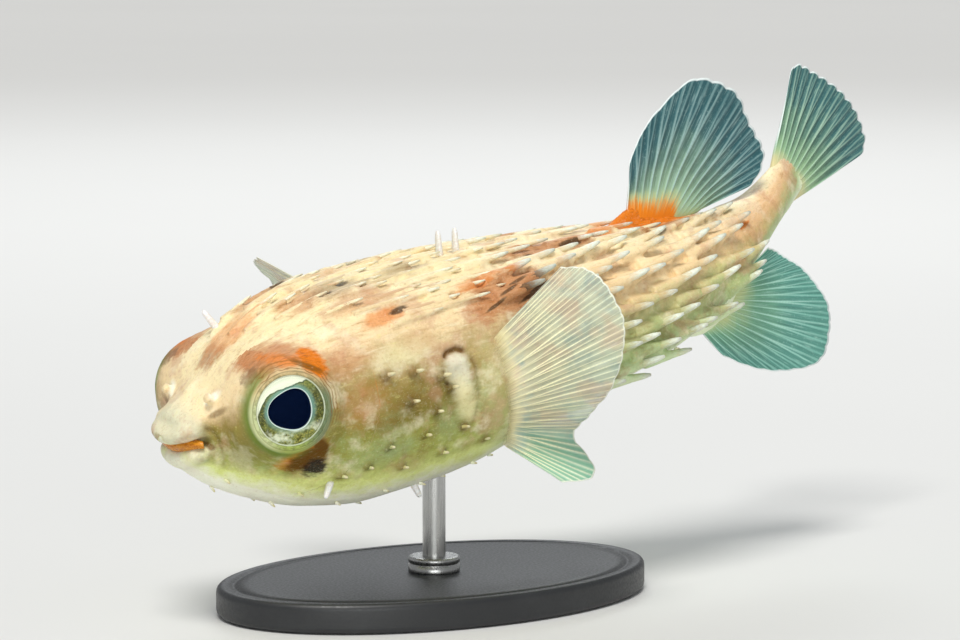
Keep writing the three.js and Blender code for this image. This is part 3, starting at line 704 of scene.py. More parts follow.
@dataclass(frozen=True)
class Hide:
    """The moist hide of the body, with the same markings on the skin and on what grows from it."""

    # The ladders hold the fish's own colours and painted light too: the dark band on the sides is partly
    # painted shade, and the pale belly is partly the fish's own pale underside and partly painted light.
    front: Ladder = (
        (-60, (0.98, 0.99, 0.8)), (-42, (0.74, 0.8, 0.28)), (-26, (0.37, 0.4, 0.09)),
        (-10, (0.25, 0.23, 0.04)), (4, (0.32, 0.24, 0.06)), (17, (0.51, 0.37, 0.175)),
        (32, (0.86, 0.66, 0.385)), (60, (0.92, 0.77, 0.46)),
    )
    rear: Ladder = (
        (-60, (0.86, 0.94, 0.66)), (-38, (0.58, 0.72, 0.4)), (-14, (0.45, 0.52, 0.23)),
        (2, (0.62, 0.57, 0.28)), (16, (0.8, 0.6, 0.33)), (32, (0.92, 0.7, 0.41)), (60, (0.95, 0.8, 0.5)),
    )
    clouds: tuple[tuple[Colour, float, float, bool], ...] = (
        ((0.33, 0.42, 0.17), 40, 0.5, True), ((0.24, 0.17, 0.035), 90, 0.55, True),
        ((0.56, 0.3, 0.19), 140, 0.5, False), ((0.92, 0.84, 0.6), 190, 0.5, False),
    )
    lid: Lid = Lid()
    lip: Colour = (0.74, 0.72, 0.52)
    light: Colour = (0.96, 0.88, 0.64)
    shade: Colour = (0.42, 0.21, 0.06)
    burnt: Colour = (0.16, 0.045, 0.006)
    olive_light: Colour = (0.74, 0.68, 0.25)
    olive_dark: Colour = (0.3, 0.2, 0.05)
    eye_shadow: Colour = (0.13, 0.21, 0.03)
    lid_line: Colour = (0.22, 0.1, 0.02)
    socket_line: Colour = (0.12, 0.1, 0.03)
    # painted shade, laid into the folds, round the studs and under the quills
    painted_shade_tint: Colour = (0.3, 0.2, 0.09)
    quill: Colour = (0.72, 0.78, 0.68)
    nape_quill: Colour = (0.92, 0.86, 0.62)
    stud: Colour = (0.64, 0.6, 0.36)
    spine: Colour = (0.93, 0.93, 0.84)
    # painted shade on the underside of quills and studs
    quill_underside_shade: Colour = (0.46, 0.46, 0.34)
    quill_stain: Colour = (0.55, 0.36, 0.18)
    blotches: tuple[Blotch, ...] = (
        # round the eye: the brow and its hot patch above, the brown and black patch below
        *blots(
            Pigment.ROSE, (0.4, 8.6, 5, 1.9, 0, 0.72, 0.35, 0.7), (3.4, 7.8, 2.8, 2.2, -30, 0.9, 0.3, 0.5),
            by_eye=True,
        ),
        *blots(Pigment.ASH, (5.2, 6.5, 1.7, 0.8, -46, 0.6, 0.3, 0.8), by_eye=True),
        *blots(
            Pigment.ORANGE, (-1, 7.9, 3.4, 0.9, 10, 0.7, 0.35, 0.8), (-5.2, 6.6, 2.6, 2, 38, 1, 0.25, 0.5),
            (-1.4, -8, 3.8, 1.6, -22, 0.85, 0.6, 0.6), by_eye=True,
        ),
        *blots(
            Pigment.RUST, (-4, 6.6, 3.2, 0.5, 32, 0.7, 0.5, 0.5), (-1.9, -9, 3.4, 2.1, -18, 1, 0.3, 0.4),
            (-4.3, -7.6, 1.5, 2.7, -10, 1, 0.3, 0.4), by_eye=True,
        ),
        *blots(Pigment.INK, (-3.5, -10.9, 2.1, 1.5, 0, 0.98, 0.35, 0.8), by_eye=True),
        # from the snout back to the tail
        *blots(Pigment.PALE, (9, 47, 1, 2.2, 0, 0.8, 0.4, 0.2), (48.9, 4, 2.1, 3, 14, 0.6, 0.6, 0.6)),
        *blots(
            Pigment.CREAM, (40, 20, 6, 2.2, 6, 0.6, 0.7), (49.6, -9, 1.9, 3.8, 14, 0.7, 0.6),
            (57, -8, 4.6, 7.5, 0, 0.2, 0.4, 0.4),
        ),
        *blots(
            Pigment.ROSE, (29, 74, 4.8, 2.6, 6, 0.6, 0.5, 0.9), (36, 58, 5.4, 2.6, 8, 0.5, 0.5, 0.9),
            (28.6, 24, 4.6, 2.8, 0, 0.5, 0.7), (30.5, 2, 4.4, 3, 0, 0.46, 0.7), (43, 24, 3.4, 2, 0, 0.3, 0.6),
            (63, 37, 9.5, 4.4, 8, 0.85), (80, 68, 13, 3, 6, 0.8), (108, 68, 8, 2.4, 4, 0.9, 0.35, 0.8),
        ),
        *blots(
            Pigment.ASH, (13.6, 86, 2, 2.2, 0, 0.55, 0.5), (35.5, 74, 5.4, 2.8, 0, 0.5, 0.5, 0.9),
            (49, 74, 4.8, 2, 0, 0.42, 0.5, 0.9),
        ),
        *blots(
            Pigment.ORANGE, (17.5, 86, 5, 2.6, 0, 0.45, 0.5), (38.5, 42, 4.4, 1.8, 6, 0.6, 0.4),
            (58.5, 48, 5, 1.5, 12, 0.5), (92, 77, 3.4, 1.8, 0, 0.7), (107, 88, 11, 5.4, 0, 1, 0.3, 0.5),
            (125.5, 25, 2.1, 1.3, 10, 0.85), (134, 20, 16, 9, 0, 0.25, 0.6),
        ),
        *blots(
            Pigment.RUST, (8.4, 24, 0.8, 1.5, 0, 0.6, 0.5, 0.3), (7.2, -14, 0.6, 1.2, 0, 0.8, 0.5, 0.3),
            (39, -4, 7, 2.6, 10, 0.35, 0.7),
        ),
        *blots(Pigment.MINT, (34, -22, 4.4, 2.8, 10, 0.5, 0.8), (46, -17, 2.4, 3, 0, 0.4, 0.8)),
        *blots(Pigment.OLIVE, (11, -20, 2.6, 5, 0, 0.4, 0.7)),
        *blots(
            Pigment.INK, (42, 44, 1.7, 0.7, 10, 0.85), (32.5, 70, 1.3, 0.6, 10, 0.75),
            (103.5, 57, 2, 0.8, 6, 0.8), (37.5, 78, 1.3, 0.6, 10, 0.75),
            (71, 36, 3.2, 0.55, 16, 0.85, 0.3, 0.6),
            (68, 32, 2.8, 0.4, 20, 0.8, 0.3, 0.6), (63.5, 37, 2.4, 0.35, 18, 0.75, 0.3, 0.6),
            (60, 31, 2.2, 0.35, 20, 0.75, 0.3, 0.6), (66, 41, 2.2, 0.35, 14, 0.7, 0.3, 0.6),
            (72, 62, 2.4, 0.8, 10, 0.8, 0.25, 1.2), (83, 66, 2.6, 0.8, 10, 0.8, 0.25, 1.2),
        ),
    )

    def ladder(self, finish: Finish, level: Value, ladder: Ladder) -> Socket:
        """The colour of a ladder at a level in millimetres above mid-flank."""
        stops = {"stops": [((angle + 90) / 180, colour) for angle, colour in ladder]}
        return finish.node("ShaderNodeValToRGB", stops, {"Fac": level / (180 * DRUM) + 0.5}).outputs["Color"]

    def ground(self, finish: Finish, place: Socket, rest: Socket) -> Socket:
        """The ground under the blotches.

        Args:
            finish: The finish in the making.
            place: The place on the body.
            rest: The place on a body drawn straight.

        Returns:
            The colour.
        """
        s, drum, _ = finish.split(place)
        cloud = finish.noise(rest, 0.13, 3, 0.6) - 0.5
        mottle = finish.noise(rest, 0.55, 4, 0.65) - 0.5
        level = drum + cloud * 8 + mottle * 9
        # the ladders carry painted shade on the sides and painted light on the belly
        front, rear = self.ladder(finish, level, self.front), self.ladder(finish, level, self.rear)
        lip = s.ease(8, 4) * drum.ease(-16, -8, 0.55, 0.9)
        colour = finish.layers(front, (s.ease(48, 78), rear), (lip, self.lip))
        low = drum.ease(7, -1)
        clean = drum.ease(-15, -9, 0.15, 1)
        for tint, shift, share, mask in self.clouds:
            patch = finish.noise(finish.moved(rest, (shift, shift, shift)), 0.17, 4, 0.62)
            patch = patch.ease(0.5, 0.66, 0, share) * clean
            colour = finish.mix(patch * low if mask else patch, colour, tint)
        brush = finish.noise(rest, 1.5, 4, 0.7, (0.3, 1, 1)) - 0.5
        streak = finish.noise(rest, 0.9, 3, 0.6, (0.16, 1, 1)) - 0.5
        streak = streak * (drum.ease(2, 9, 0.35, 1) * s.ease(7, 16, 0.4, 1))
        return finish.layers(
            colour, (brush.ease(0.04, 0.3, 0, 0.6) * clean, self.olive_light),
            (brush.ease(-0.04, -0.3, 0, 0.5) * clean, self.olive_dark),
            (streak.ease(0.02, 0.32, 0, 0.7), self.light), (streak.ease(-0.03, -0.34, 0, 0.8), self.shade),
        )

    def coloured(self, finish: Finish) -> tuple[Socket, Value, Socket]:
        """The ground with its blotches.

        Args:
            finish: The finish in the making.

        Returns:
            The colour, its share of ink, and the place on a body drawn straight.
        """
        place, orbit, rest = finish.kept("place"), finish.kept("orbit"), finish.kept("rest")
        colour = self.ground(finish, place, rest)
        sway = finish.noise(rest, 0.35, 4, 0.65, (0.5, 1, 1)) - 0.5
        wander = sway * 2 + (finish.noise(rest, 1.4, 2, 0.6, (0.3, 1, 1)) - 0.5)
        above = finish.split(orbit)[1]
        outside = (finish.length(orbit) + above.ease(2, 6, 0, 0.7)).ease(7, 7.4)
        cover: dict[Pigment, Value] = {}
        for blotch in self.blotches:
            share = blotch.cover(finish, orbit if blotch.by_eye else place, wander)
            share = share * outside if blotch.by_eye else share
            cover[blotch.pigment] = cover[blotch.pigment].high(share) if blotch.pigment in cover else share
        colour = finish.layers(colour, *((cover[pigment], pigment.value) for pigment in Pigment))
        stain = cover[Pigment.ROSE]
        for pigment in (Pigment.ASH, Pigment.ORANGE, Pigment.RUST, Pigment.MINT, Pigment.OLIVE):
            stain = stain.high(cover[pigment])
        fibre = finish.noise(rest, 2.2, 3, 0.65, (0.3, 1, 1)) - 0.5
        dark, pale = stain * fibre.ease(0.02, -0.24, 0, 0.5), stain * fibre.ease(0.04, 0.3, 0, 0.16)
        colour = finish.layers(colour, (dark, self.burnt), (pale, self.light))
        return colour, cover[Pigment.INK], rest

    def lidded(self, finish: Finish, colour: Socket) -> Socket:
        """Colours the lids and the folds round the eyes.

        Args:
            finish: The finish in the making.
            colour: The hide's colour.

        Returns:
            The colour with the lids.
        """
        orbit = finish.kept("orbit")
        ahead, above, _ = finish.split(orbit)
        radius = finish.length(orbit)
        ring = radius.ease(7.4, 6.9) * above.ease(3, 6, 1, 0.7)
        green = (ahead * 0.14 - above * 0.035 + 0.33).ease(0, 1)
        fine = finish.noise(finish.kept("spot"), 0.5, 2) - 0.5
        wave = ((radius + fine * 1.1) * 11).math("SINE").ease(0.2, 1) * (fine + 0.5).ease(0.25, 0.6, 0.3, 1)
        behind = (above - ahead * 0.8).ease(-2, 5, 0.1, 0.85)
        lines = wave * radius.ease(9.6, 7.2) * radius.ease(6.5, 6.8) * behind
        return finish.layers(
            colour, (radius.band(7.3, 1.5) * green * 0.9, self.eye_shadow),
            (ring * 0.9, self.lid.colour(finish, ahead, above)), (lines, self.lid_line),
            (radius.band(6.62, 0.14) * 0.45, self.socket_line),
        )

    def skin(self) -> Material:
        """Makes the finish of the bare skin.

        Returns:
            The material.
        """
        finish = Finish("hide_skin")
        colour, _, rest = self.coloured(finish)
        colour = self.lidded(finish, colour)
        # painted shade: darkens the skin in the folds, round the studs and under the tips of the quills
        colour = finish.mix(finish.kept_value("fold").ease(0, 1), colour, self.painted_shade_tint, "MULTIPLY")
        grain = finish.noise(rest, 2.4, 4, 0.7)
        speckle = (grain - 0.5) * finish.length(finish.kept("orbit")).ease(6, 12, 0, 1)
        light, shade = speckle.ease(0.02, 0.3, 0, 0.3), speckle.ease(-0.02, -0.26, 0, 0.35)
        height = grain * 0.6 + finish.cells(rest, 1.5) * 0.4
        return finish.dressed({
            "Base Color": finish.layers(colour, (light, self.light), (shade, self.shade)),
            "Roughness": grain.ease(0.3, 0.7, 0.4, 0.58), "Specular IOR Level": 0.18,
            "Normal": finish.bump(height, 0.16, 0.7), "Coat Weight": 0.04, "Coat Roughness": 0.22,
            "Subsurface Weight": 0.06, "Subsurface Radius": (0.002, 0.001, 0.0005), "Subsurface Scale": 0.4,
        })

    def spiny(self, name: str, sheathed: float, tint: Colour) -> Material:
        """Makes the finish of what grows from the skin, with a foot in the skin's colour.

        Args:
            name: Its name.
            sheathed: The share of the length that the skin's colour reaches.
            tint: The colour of the tip.

        Returns:
            The material.
        """
        finish = Finish(name)
        colour, ink, _ = self.coloured(finish)
        along, dice, around = finish.split(finish.kept("quill"))
        grain = finish.noise(finish.kept("spot"), 3, 3, 0.6, (0.4, 1, 1))
        bare = (along + (dice - 0.5) * 0.14 + (grain - 0.5) * 0.3).ease(sheathed, sheathed + 0.4)
        # the underside of each quill or stud gets painted shade
        pale = finish.layers(
            tint, (dice.ease(0.2, 0.9), toned(tint, 1.2, 0.95)),
            (around.ease(-0.2, -1, 0, 0.35), self.quill_underside_shade), (ink * 0.3, Pigment.INK.value),
        )
        stain = grain.ease(0.62, 0.35, 0, 0.25)
        return finish.dressed({
            "Base Color": finish.layers(colour, (bare, pale), (stain, self.quill_stain)),
            "Roughness": grain.ease(0.3, 0.7, 0.34, 0.5), "Specular IOR Level": 0.3,
            "Normal": finish.bump(grain, 0.1, 0.6),
            "Subsurface Weight": 0.08, "Subsurface Radius": (0.003, 0.002, 0.001), "Subsurface Scale": 0.3,
        })


@dataclass(frozen=True)
class MouthFlesh:
    """The moist orange flesh between the lips."""

    wet: Colour = (0.66, 0.25, 0.004)
    deep: Colour = (0.46, 0.13, 0.002)
    sheen: Colour = (0.95, 0.5, 0.1)

    def material(self) -> Material:
        """Makes the finish.

        Returns:
            The material.
        """
        finish = Finish("mouth_flesh")
        spot = finish.kept("spot")
        grain = finish.noise(spot, 1.2, 3, 0.6, (1, 0.5, 2))
        shiny = finish.noise(spot, 3.5, 2).ease(0.55, 0.75, 0, 0.5)
        return finish.dressed({
            "Base Color": finish.layers(self.deep, (grain.ease(0.35, 0.65), self.wet), (shiny, self.sheen)),
            "Roughness": grain.ease(0.3, 0.7, 0.2, 0.38), "Specular IOR Level": 0.35,
            "Normal": finish.bump(grain, 0.2, 0.8), "Coat Weight": 0.15, "Coat Roughness": 0.12,
        })


@dataclass(frozen=True)
class EyeGlass:
    """The finishes of the eye: mottled iris, navy pupil and clear dome."""

    lid: Lid = Lid()
    olive: Colour = (0.2, 0.22, 0.07)
    silver: Colour = (0.42, 0.46, 0.24)
    moss: Colour = (0.05, 0.05, 0.015)
    gold: Colour = (0.5, 0.42, 0.1)
    mist: Colour = (0.2, 0.36, 0.31)
    cream: Colour = (0.94, 0.91, 0.74)
    navy: Colour = (0.0002, 0.0035, 0.02)
    hood_line: Colour = (0.05, 0.08, 0.05)
    dusk: Colour = (0.1, 0.11, 0.03)
    outer_rim: Colour = (0.82, 0.84, 0.66)
    lid_fleck: Colour = (0.12, 0.13, 0.04)
    lid_edge: Colour = (0.07, 0.08, 0.02)
    pupil_rim: Colour = (0.8, 0.88, 0.86)
    tear: Colour = (0.97, 0.99, 0.98)
    gloss: Colour = (0.95, 0.97, 1)

    def globe(self) -> Material:
        """Makes the finish of iris and pupil. The forms keep how far out a point lies, forward and up.

        Returns:
            The material.
        """
        finish = Finish("eye_globe")
        out, ahead, above = finish.split(finish.kept("iris"))
        spot = finish.kept("spot")
        cloud = finish.noise(spot, 0.42, 2, 0.5)
        fleck = finish.noise(spot, 1.15, 3, 0.6)
        fine = finish.noise(spot, 3.2, 2, 0.6)
        beside = (ahead.size() - above.size() * 0.5).ease(1.2, 3.4)
        below = above.ease(-1.5, -4)
        crescent = out.ease(0.22, 0.08) * above.ease(-2.8, -3.3) * ahead.band(-0.3, 1.8)
        hood = above + ahead * 0.15 + (ahead - 2.5).high(0) ** 2 * 0.29 + (fleck - 0.5) * 0.6
        lid = self.lid.colour(finish, ahead, above)
        lid = finish.mix(fleck.ease(0.4, 0.62, 0, 0.45), lid, self.lid_fleck)
        pupil = out.ease(0, -0.03)
        colour = finish.layers(
            self.olive, (cloud.ease(0.38, 0.62), self.silver),
            ((fleck * 0.5 + cloud * 0.5 + beside * 0.16 - 0.58).ease(-0.08, 0.1) * 0.85, self.moss),
            (fine.ease(0.5, 0.72, 0, 0.6), self.gold), (fine.ease(0.46, 0.28, 0, 0.6), self.moss),
            ((fleck * 0.6 + fine * 0.5 - cloud * 0.5).ease(0.27, 0.42, 0, 0.5) * below, self.gold),
            ((cloud - fleck * 0.5).ease(0.18, 0.4, 0, 0.75) * below, self.cream),
            ((fleck - cloud * 0.3).ease(0.4, 0.5, 0, 0.75) * below, self.moss), (crescent, self.cream),
            (out.ease(0.5, 0.1, 0, 0.85) * above.ease(-4, 0, 0.3, 1), self.mist),
            (hood.band(4, 0.22) * 0.75, self.hood_line), (hood.ease(4.02, 4.18), self.cream),
            (out.band(0.88, 0.06) * above.ease(3, 0, 0, 0.5), self.dusk),
            (out.ease(0.93, 0.97), self.outer_rim), (out.ease(1.02, 1.06), lid),
            (out.band(1.05, 0.03) * 0.3, self.lid_edge), (out.ease(0.07, 0.02), self.pupil_rim),
            (pupil, self.navy),
        )
        return finish.dressed({
            "Base Color": colour, "Roughness": pupil.ease(0, 1, 0.45, 0.6), "Specular IOR Level": 0.03,
            "Normal": finish.bump(fleck + cloud * 0.5, 0.12, 0.6),
        })

    def dome(self) -> Material:
        """Makes the finish of the clear dome, which only shows its gloss.

        Returns:
            The material.
        """
        finish = Finish("eye_dome")
        film = finish.noise(finish.kept("spot"), 0.8, 2).ease(0.3, 0.7, 0.03, 0.07)
        clear = finish.node("ShaderNodeBsdfTransparent", {}, {"Color": self.tear})
        gloss = finish.surface({"Base Color": self.gloss, "Metallic": 1, "Roughness": film})
        facing = Value(finish, finish.node("ShaderNodeLayerWeight", {}, {"Blend": 0.5}).outputs["Facing"])
        share = facing.ease(0.45, 1) ** 2 * 0.4
        mixed = {0: share, 1: clear.outputs[0], 2: gloss.outputs[0]}
        return finish.done(finish.node("ShaderNodeMixShader", {}, mixed))


@dataclass(frozen=True)
class FinTint:
    """A fin's thin web from foot to margin, its pale rays and its white margin."""

    name: str
    foot: Colour
    inner: Colour
    outer: Colour
    ray: Colour
    margin: Colour = (0.86, 0.93, 0.92)
    margin_width: float = 0.62
    foot_reach: float = 0.2
    clear: float = 0.2
    blush: Colour | None = None
    blush_reach: float = 0.3
    lobe: Colour | None = None
    melt: float = 0
    patches: tuple[Colour, ...] = ()
    gap: float = 0.38

    def material(self) -> Material:
        """Makes the finish. The forms keep ray, how far out, and how far from the margin.

        Returns:
            The material.
        """
        finish = Finish(self.name)
        ray, out, edge = finish.split(finish.kept("web"))
        fan, spot = finish.kept("fan"), finish.kept("spot")
        turn, length, _ = finish.split(fan)
        cloud = finish.noise(spot, 0.16, 3, 0.6) - 0.5
        grain = finish.noise(spot, 1.8, 3, 0.65)
        streaks = finish.noise(fan, 1, 3, 0.7, (110, 0.14, 1)) - 0.5
        joints = ((length * 8).math("SINE") * 0.5 + 0.5) * ray
        lower = turn.ease(0.66, 0.86, 0, 0.8)
        past_foot = out.ease(0.1, 0.4)
        web = finish.mix((out + cloud * 0.5).ease(0.15, 0.8), self.inner, self.outer)
        for index, patch in enumerate(self.patches):
            shade = finish.noise(finish.moved(spot, (50 * (index + 1), 0, 0)), 0.14, 3, 0.6)
            web = finish.mix(shade.ease(0.46, 0.62, 0, 0.75), web, patch)
        colour = finish.layers(
            web, ((1 - ray).ease(0.6, 1) * self.gap * past_foot, toned(self.outer, 0.45)),
            (streaks.ease(0, 0.26, 0, 0.6), self.ray),
            (streaks.ease(0, -0.26, 0, 0.6), toned(self.outer, 0.35)),
            (grain.ease(0.55, 0.75, 0, 0.25), self.ray),
            (ray.ease(0.15, 0.9, 0, 0.8) * out.ease(1, 0.45, 0.35, 1), self.ray),
            (joints.ease(0.45, 0.95, 0, 0.22), toned(self.ray, 0.45)),
            ((out + cloud * 0.3).ease(self.foot_reach, 0), self.foot),
        )
        if self.blush:
            reach = length * 0.045 + cloud * 0.24 + streaks * 0.34 + turn.ease(0.54, 0.7, 0, 0.4)
            around = reach.ease(self.blush_reach * 1.25, self.blush_reach * 0.7)
            inside = reach.ease(self.blush_reach, self.blush_reach * 0.45)
            colour = finish.layers(colour, (around, self.foot), (inside, self.blush))
        if self.lobe:
            colour = finish.mix(lower * (1 - ray) * past_foot, colour, self.lobe)
        white = edge.ease(self.margin_width, self.margin_width * 0.4) * out.ease(0.16, 0.4)
        solid = ray.ease(0.2, 0.9).high(out.ease(0.4, 0.05)).high(white).high(lower)
        alpha = solid.ease(0, 1, 1 - self.clear, 1)
        if self.melt:
            alpha = alpha * (out + cloud * 0.1 + streaks * 0.1).ease(0, self.melt)
        return finish.dressed({
            "Base Color": finish.mix(white * 0.9, colour, self.margin), "Alpha": alpha,
            "Roughness": grain.ease(0.3, 0.7, 0.34, 0.5), "Specular IOR Level": 0.3,
            "Normal": finish.bump(grain * 0.4 + joints * 0.6, 0.05, 0.6),
        })


class Metal(Enum):
    """The stand's finishes: name, colour, roughness and whether it is bare metal."""

    PAINTED = ("stand_paint", (0.018, 0.019, 0.021), 0.42, 0)
    BRUSHED = ("stand_steel", (0.46, 0.46, 0.45), 0.3, 1)

    def material(self) -> Material:
        """Makes the finish.

        Returns:
            The material.
        """
        name, colour, rough, metallic = self.value
        finish = Finish(name)
        spot = finish.kept("spot")
        fine, brush = finish.noise(spot, 2.2, 3, 0.6), finish.noise(spot, 3, 2, 0.5, (1, 1, 0.06))
        texture = brush if self is Metal.BRUSHED else fine
        dust = finish.noise(spot, 0.09, 4, 0.6).ease(0.45, 0.75, 0, 0.35)
        return finish.dressed({
            "Base Color": finish.mix(dust, colour, tuple(min(1, part * 1.8 + 0.01) for part in colour)),
            "Metallic": metallic, "Roughness": texture.ease(0.3, 0.7, rough - 0.08, rough + 0.1),
            "Normal": finish.bump(texture, 0.03, 0.5),
        })


def placed(name: str, data: bpy.types.ID) -> bpy.types.Object:
    """Puts an object with this data into the scene."""
    bpy.context.scene.collection.objects.link(made := bpy.data.objects.new(name, data))
    return made


@dataclass
class Workshop:
    """Turns forms into pieces of the model that ride on its one body."""

    spine: Spine

    def mesh(self, name: str, form: Form, upright: bool = False) -> bpy.types.Mesh:
        """Makes a mesh in metres with all that its form keeps.

        Args:
            name: The mesh's name.
            form: The form.
            upright: Whether it is drawn over the stand, not in the fish's frame.

        Returns:
            The mesh.
        """
        points = form.points * MM if upright else self.spine.to_world(form.points)
        mesh = bpy.data.meshes.new(name)
        mesh.from_pydata(points.tolist(), [], form.faces)
        for key, values in {"spot": form.points, **form.marks}.items():
            kind, slot = ("FLOAT_VECTOR", "vector") if values.ndim == 2 else ("FLOAT", "value")
            attribute = mesh.attributes.new(key, kind, "POINT")
            attribute.data.foreach_set(slot, np.ascontiguousarray(values, np.float32).ravel())
        if form.unwrap is not None:
            corners = np.empty(len(mesh.loops), np.int32)
            mesh.loops.foreach_get("vertex_index", corners)
            layer = mesh.uv_layers.new(name=BAKE_MAP)
            layer.uv.foreach_set("vector", form.unwrap[corners].astype(np.float32).ravel())
        mesh.shade_smooth()
        mesh.update()
        return mesh

    def piece(
        self, name: str, form: Form, look: Material, slot: str, nodes: Sequence = (), upright: bool = False
    ) -> None:
        """Makes a piece of the model.

        Args:
            name: The piece's name.
            form: Its form.
            look: Its finish.
            slot: The record's material slot for it; not used.
            nodes: The names of the solids that it stands for.
            upright: Whether it is drawn over the stand, not in the fish's frame.
        """
        piece = placed(name, self.mesh(name, form, upright))
        piece.data.materials.append(look)
        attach(piece, BODY)
        if nodes:
            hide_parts(*nodes)
        log.info("%s: %d points, %d faces", name, len(form.points), len(form.faces))


@dataclass(frozen=True)
class Roll:
    """One soft roll round the mouth: height, radius, how far it is set back, droop and reach."""

    height: float
    radius: float
    set_back: float
    droop: float
    reach: float


@dataclass
class Mouth:
    """The lips and the orange flesh that shows between them."""

    half: float = 7.3
    front: float = 2.8
    depth: float = 3.7
    slope: float = -0.3
    arch: float = 0.45
    inset: float = 0.55
    width: float = 1.25
    taper: float = 0.45
    upper: Roll = Roll(-0.55, 1.35, -0.2, 0.15, 90)
    muzzle: Roll = Roll(0.5, 1.4, 2.6, 0.4, 80)
    lower: Roll = Roll(-5.4, 1.7, 1.6, 0.5, 90)
    lining: Roll = Roll(-2.9, 1.0, 1.4, -0.05, 74)
    ripple: float = 0.03
    slit: float = 0.78
    slit_depth: float = 1.5

    def roll(self, roll: Roll, steps: int = 48, sides: int = 18) -> Form:
        """Lofts a roll from corner to corner.

        Args:
            roll: The roll.
            steps: How many steps it has.
            sides: How many sides it has.

        Returns:
            The closed roll.
        """
        turn = np.radians(np.linspace(-roll.reach, roll.reach, steps))
        corner = np.abs(np.sin(turn)) ** 3
        back = self.front + self.depth * (1 - np.cos(turn)) + roll.set_back * np.cos(turn)
        level = roll.height - self.slope * (back - self.front) + roll.droop * corner
        level = level + self.arch * np.sin(2 * turn) ** 2
        thick = roll.radius * (1 - self.taper * corner)
        outward = unit(stacked(-np.cos(turn) * self.half, np.sin(turn) * self.depth, 0.0))
        middle = stacked(back, self.half * np.sin(turn), level) - outward * self.inset * roll.radius
        around = circle(sides)
        reach = np.outer(thick * self.width, np.cos(around))[..., None] * outward[:, None]
        rise = np.outer(thick, np.sin(around))[..., None] * np.array([0.0, 0.0, 1.0])
        return lattice(middle[:, None] + reach + rise)

    def parted(self, points: Array) -> Array:
        """Presses in the slit between the lips.

        Args:
            points: The skin's points.

        Returns:
            The moved points.
        """
        arch = self.arch * np.sin(2 * np.arcsin(np.clip(points[:, 1] / self.half, -1, 1))) ** 2
        level = points[:, 2] - (self.lining.height - self.slope * (points[:, 0] - self.front) + arch)
        ahead = ease(points[:, 0], self.front + self.depth + 1.2, self.front + self.depth)
        share = np.exp(-((level / self.slit) ** 4)) * ahead
        inward = unit(stacked(3.0, -points[:, 1], 0.0))
        return points + inward * (self.slit_depth * share)[:, None]

    def build(self, workshop: Workshop) -> None:
        """Makes the orange flesh between the lips."""
        form = self.roll(self.lining, 60, 20)
        y = form.points[:, 1]
        form.points[:, 0] += self.ripple * np.sin(y * 2.4 + np.sin(y * 0.9) * 2.0)
        workshop.piece("mouth_flesh", form, MouthFlesh().material(), "mouth_lining", ["mouth_lining"])


@dataclass(frozen=True)
class Fold:
    """A groove, or with a negative depth a ridge, along a line of places on both sides of the body."""

    places: Profile
    width: float
    depth: float
    # tint: how much shade is painted in the fold
    tint: float = 0.6


@dataclass(frozen=True)
class Foot:
    """The fleshy foot of a fin on the back or the belly."""

    start: float
    end: float
    rise: float
    half: float
    peak: float
    sunk: float = 1.5

    def form(self, body: Body) -> Form:
        """Lofts the foot along the spine.

        Args:
            body: The body that it grows from.

        Returns:
            The foot.
        """
        u = np.linspace(0, 1, 60)
        s = self.start + (self.end - self.start) * u
        station = body.spine.at(s)
        sign = math.copysign(1.0, self.rise)
        surface = body.top(s) if sign > 0 else -body.bottom(s)
        swell = np.maximum(np.sin(np.pi * u**self.peak), 0.05) ** 0.7
        around = circle(20)
        full = (self.rise + sign * self.sunk) * swell
        high = (surface - sign * self.sunk)[:, None] + np.outer(full, (1 + np.cos(around)) / 2)
        wide = np.outer(self.half * swell, np.sin(around) * np.sqrt(1 - 0.42 * (1 + np.cos(around))))
        return lattice(station.ring(wide, high))


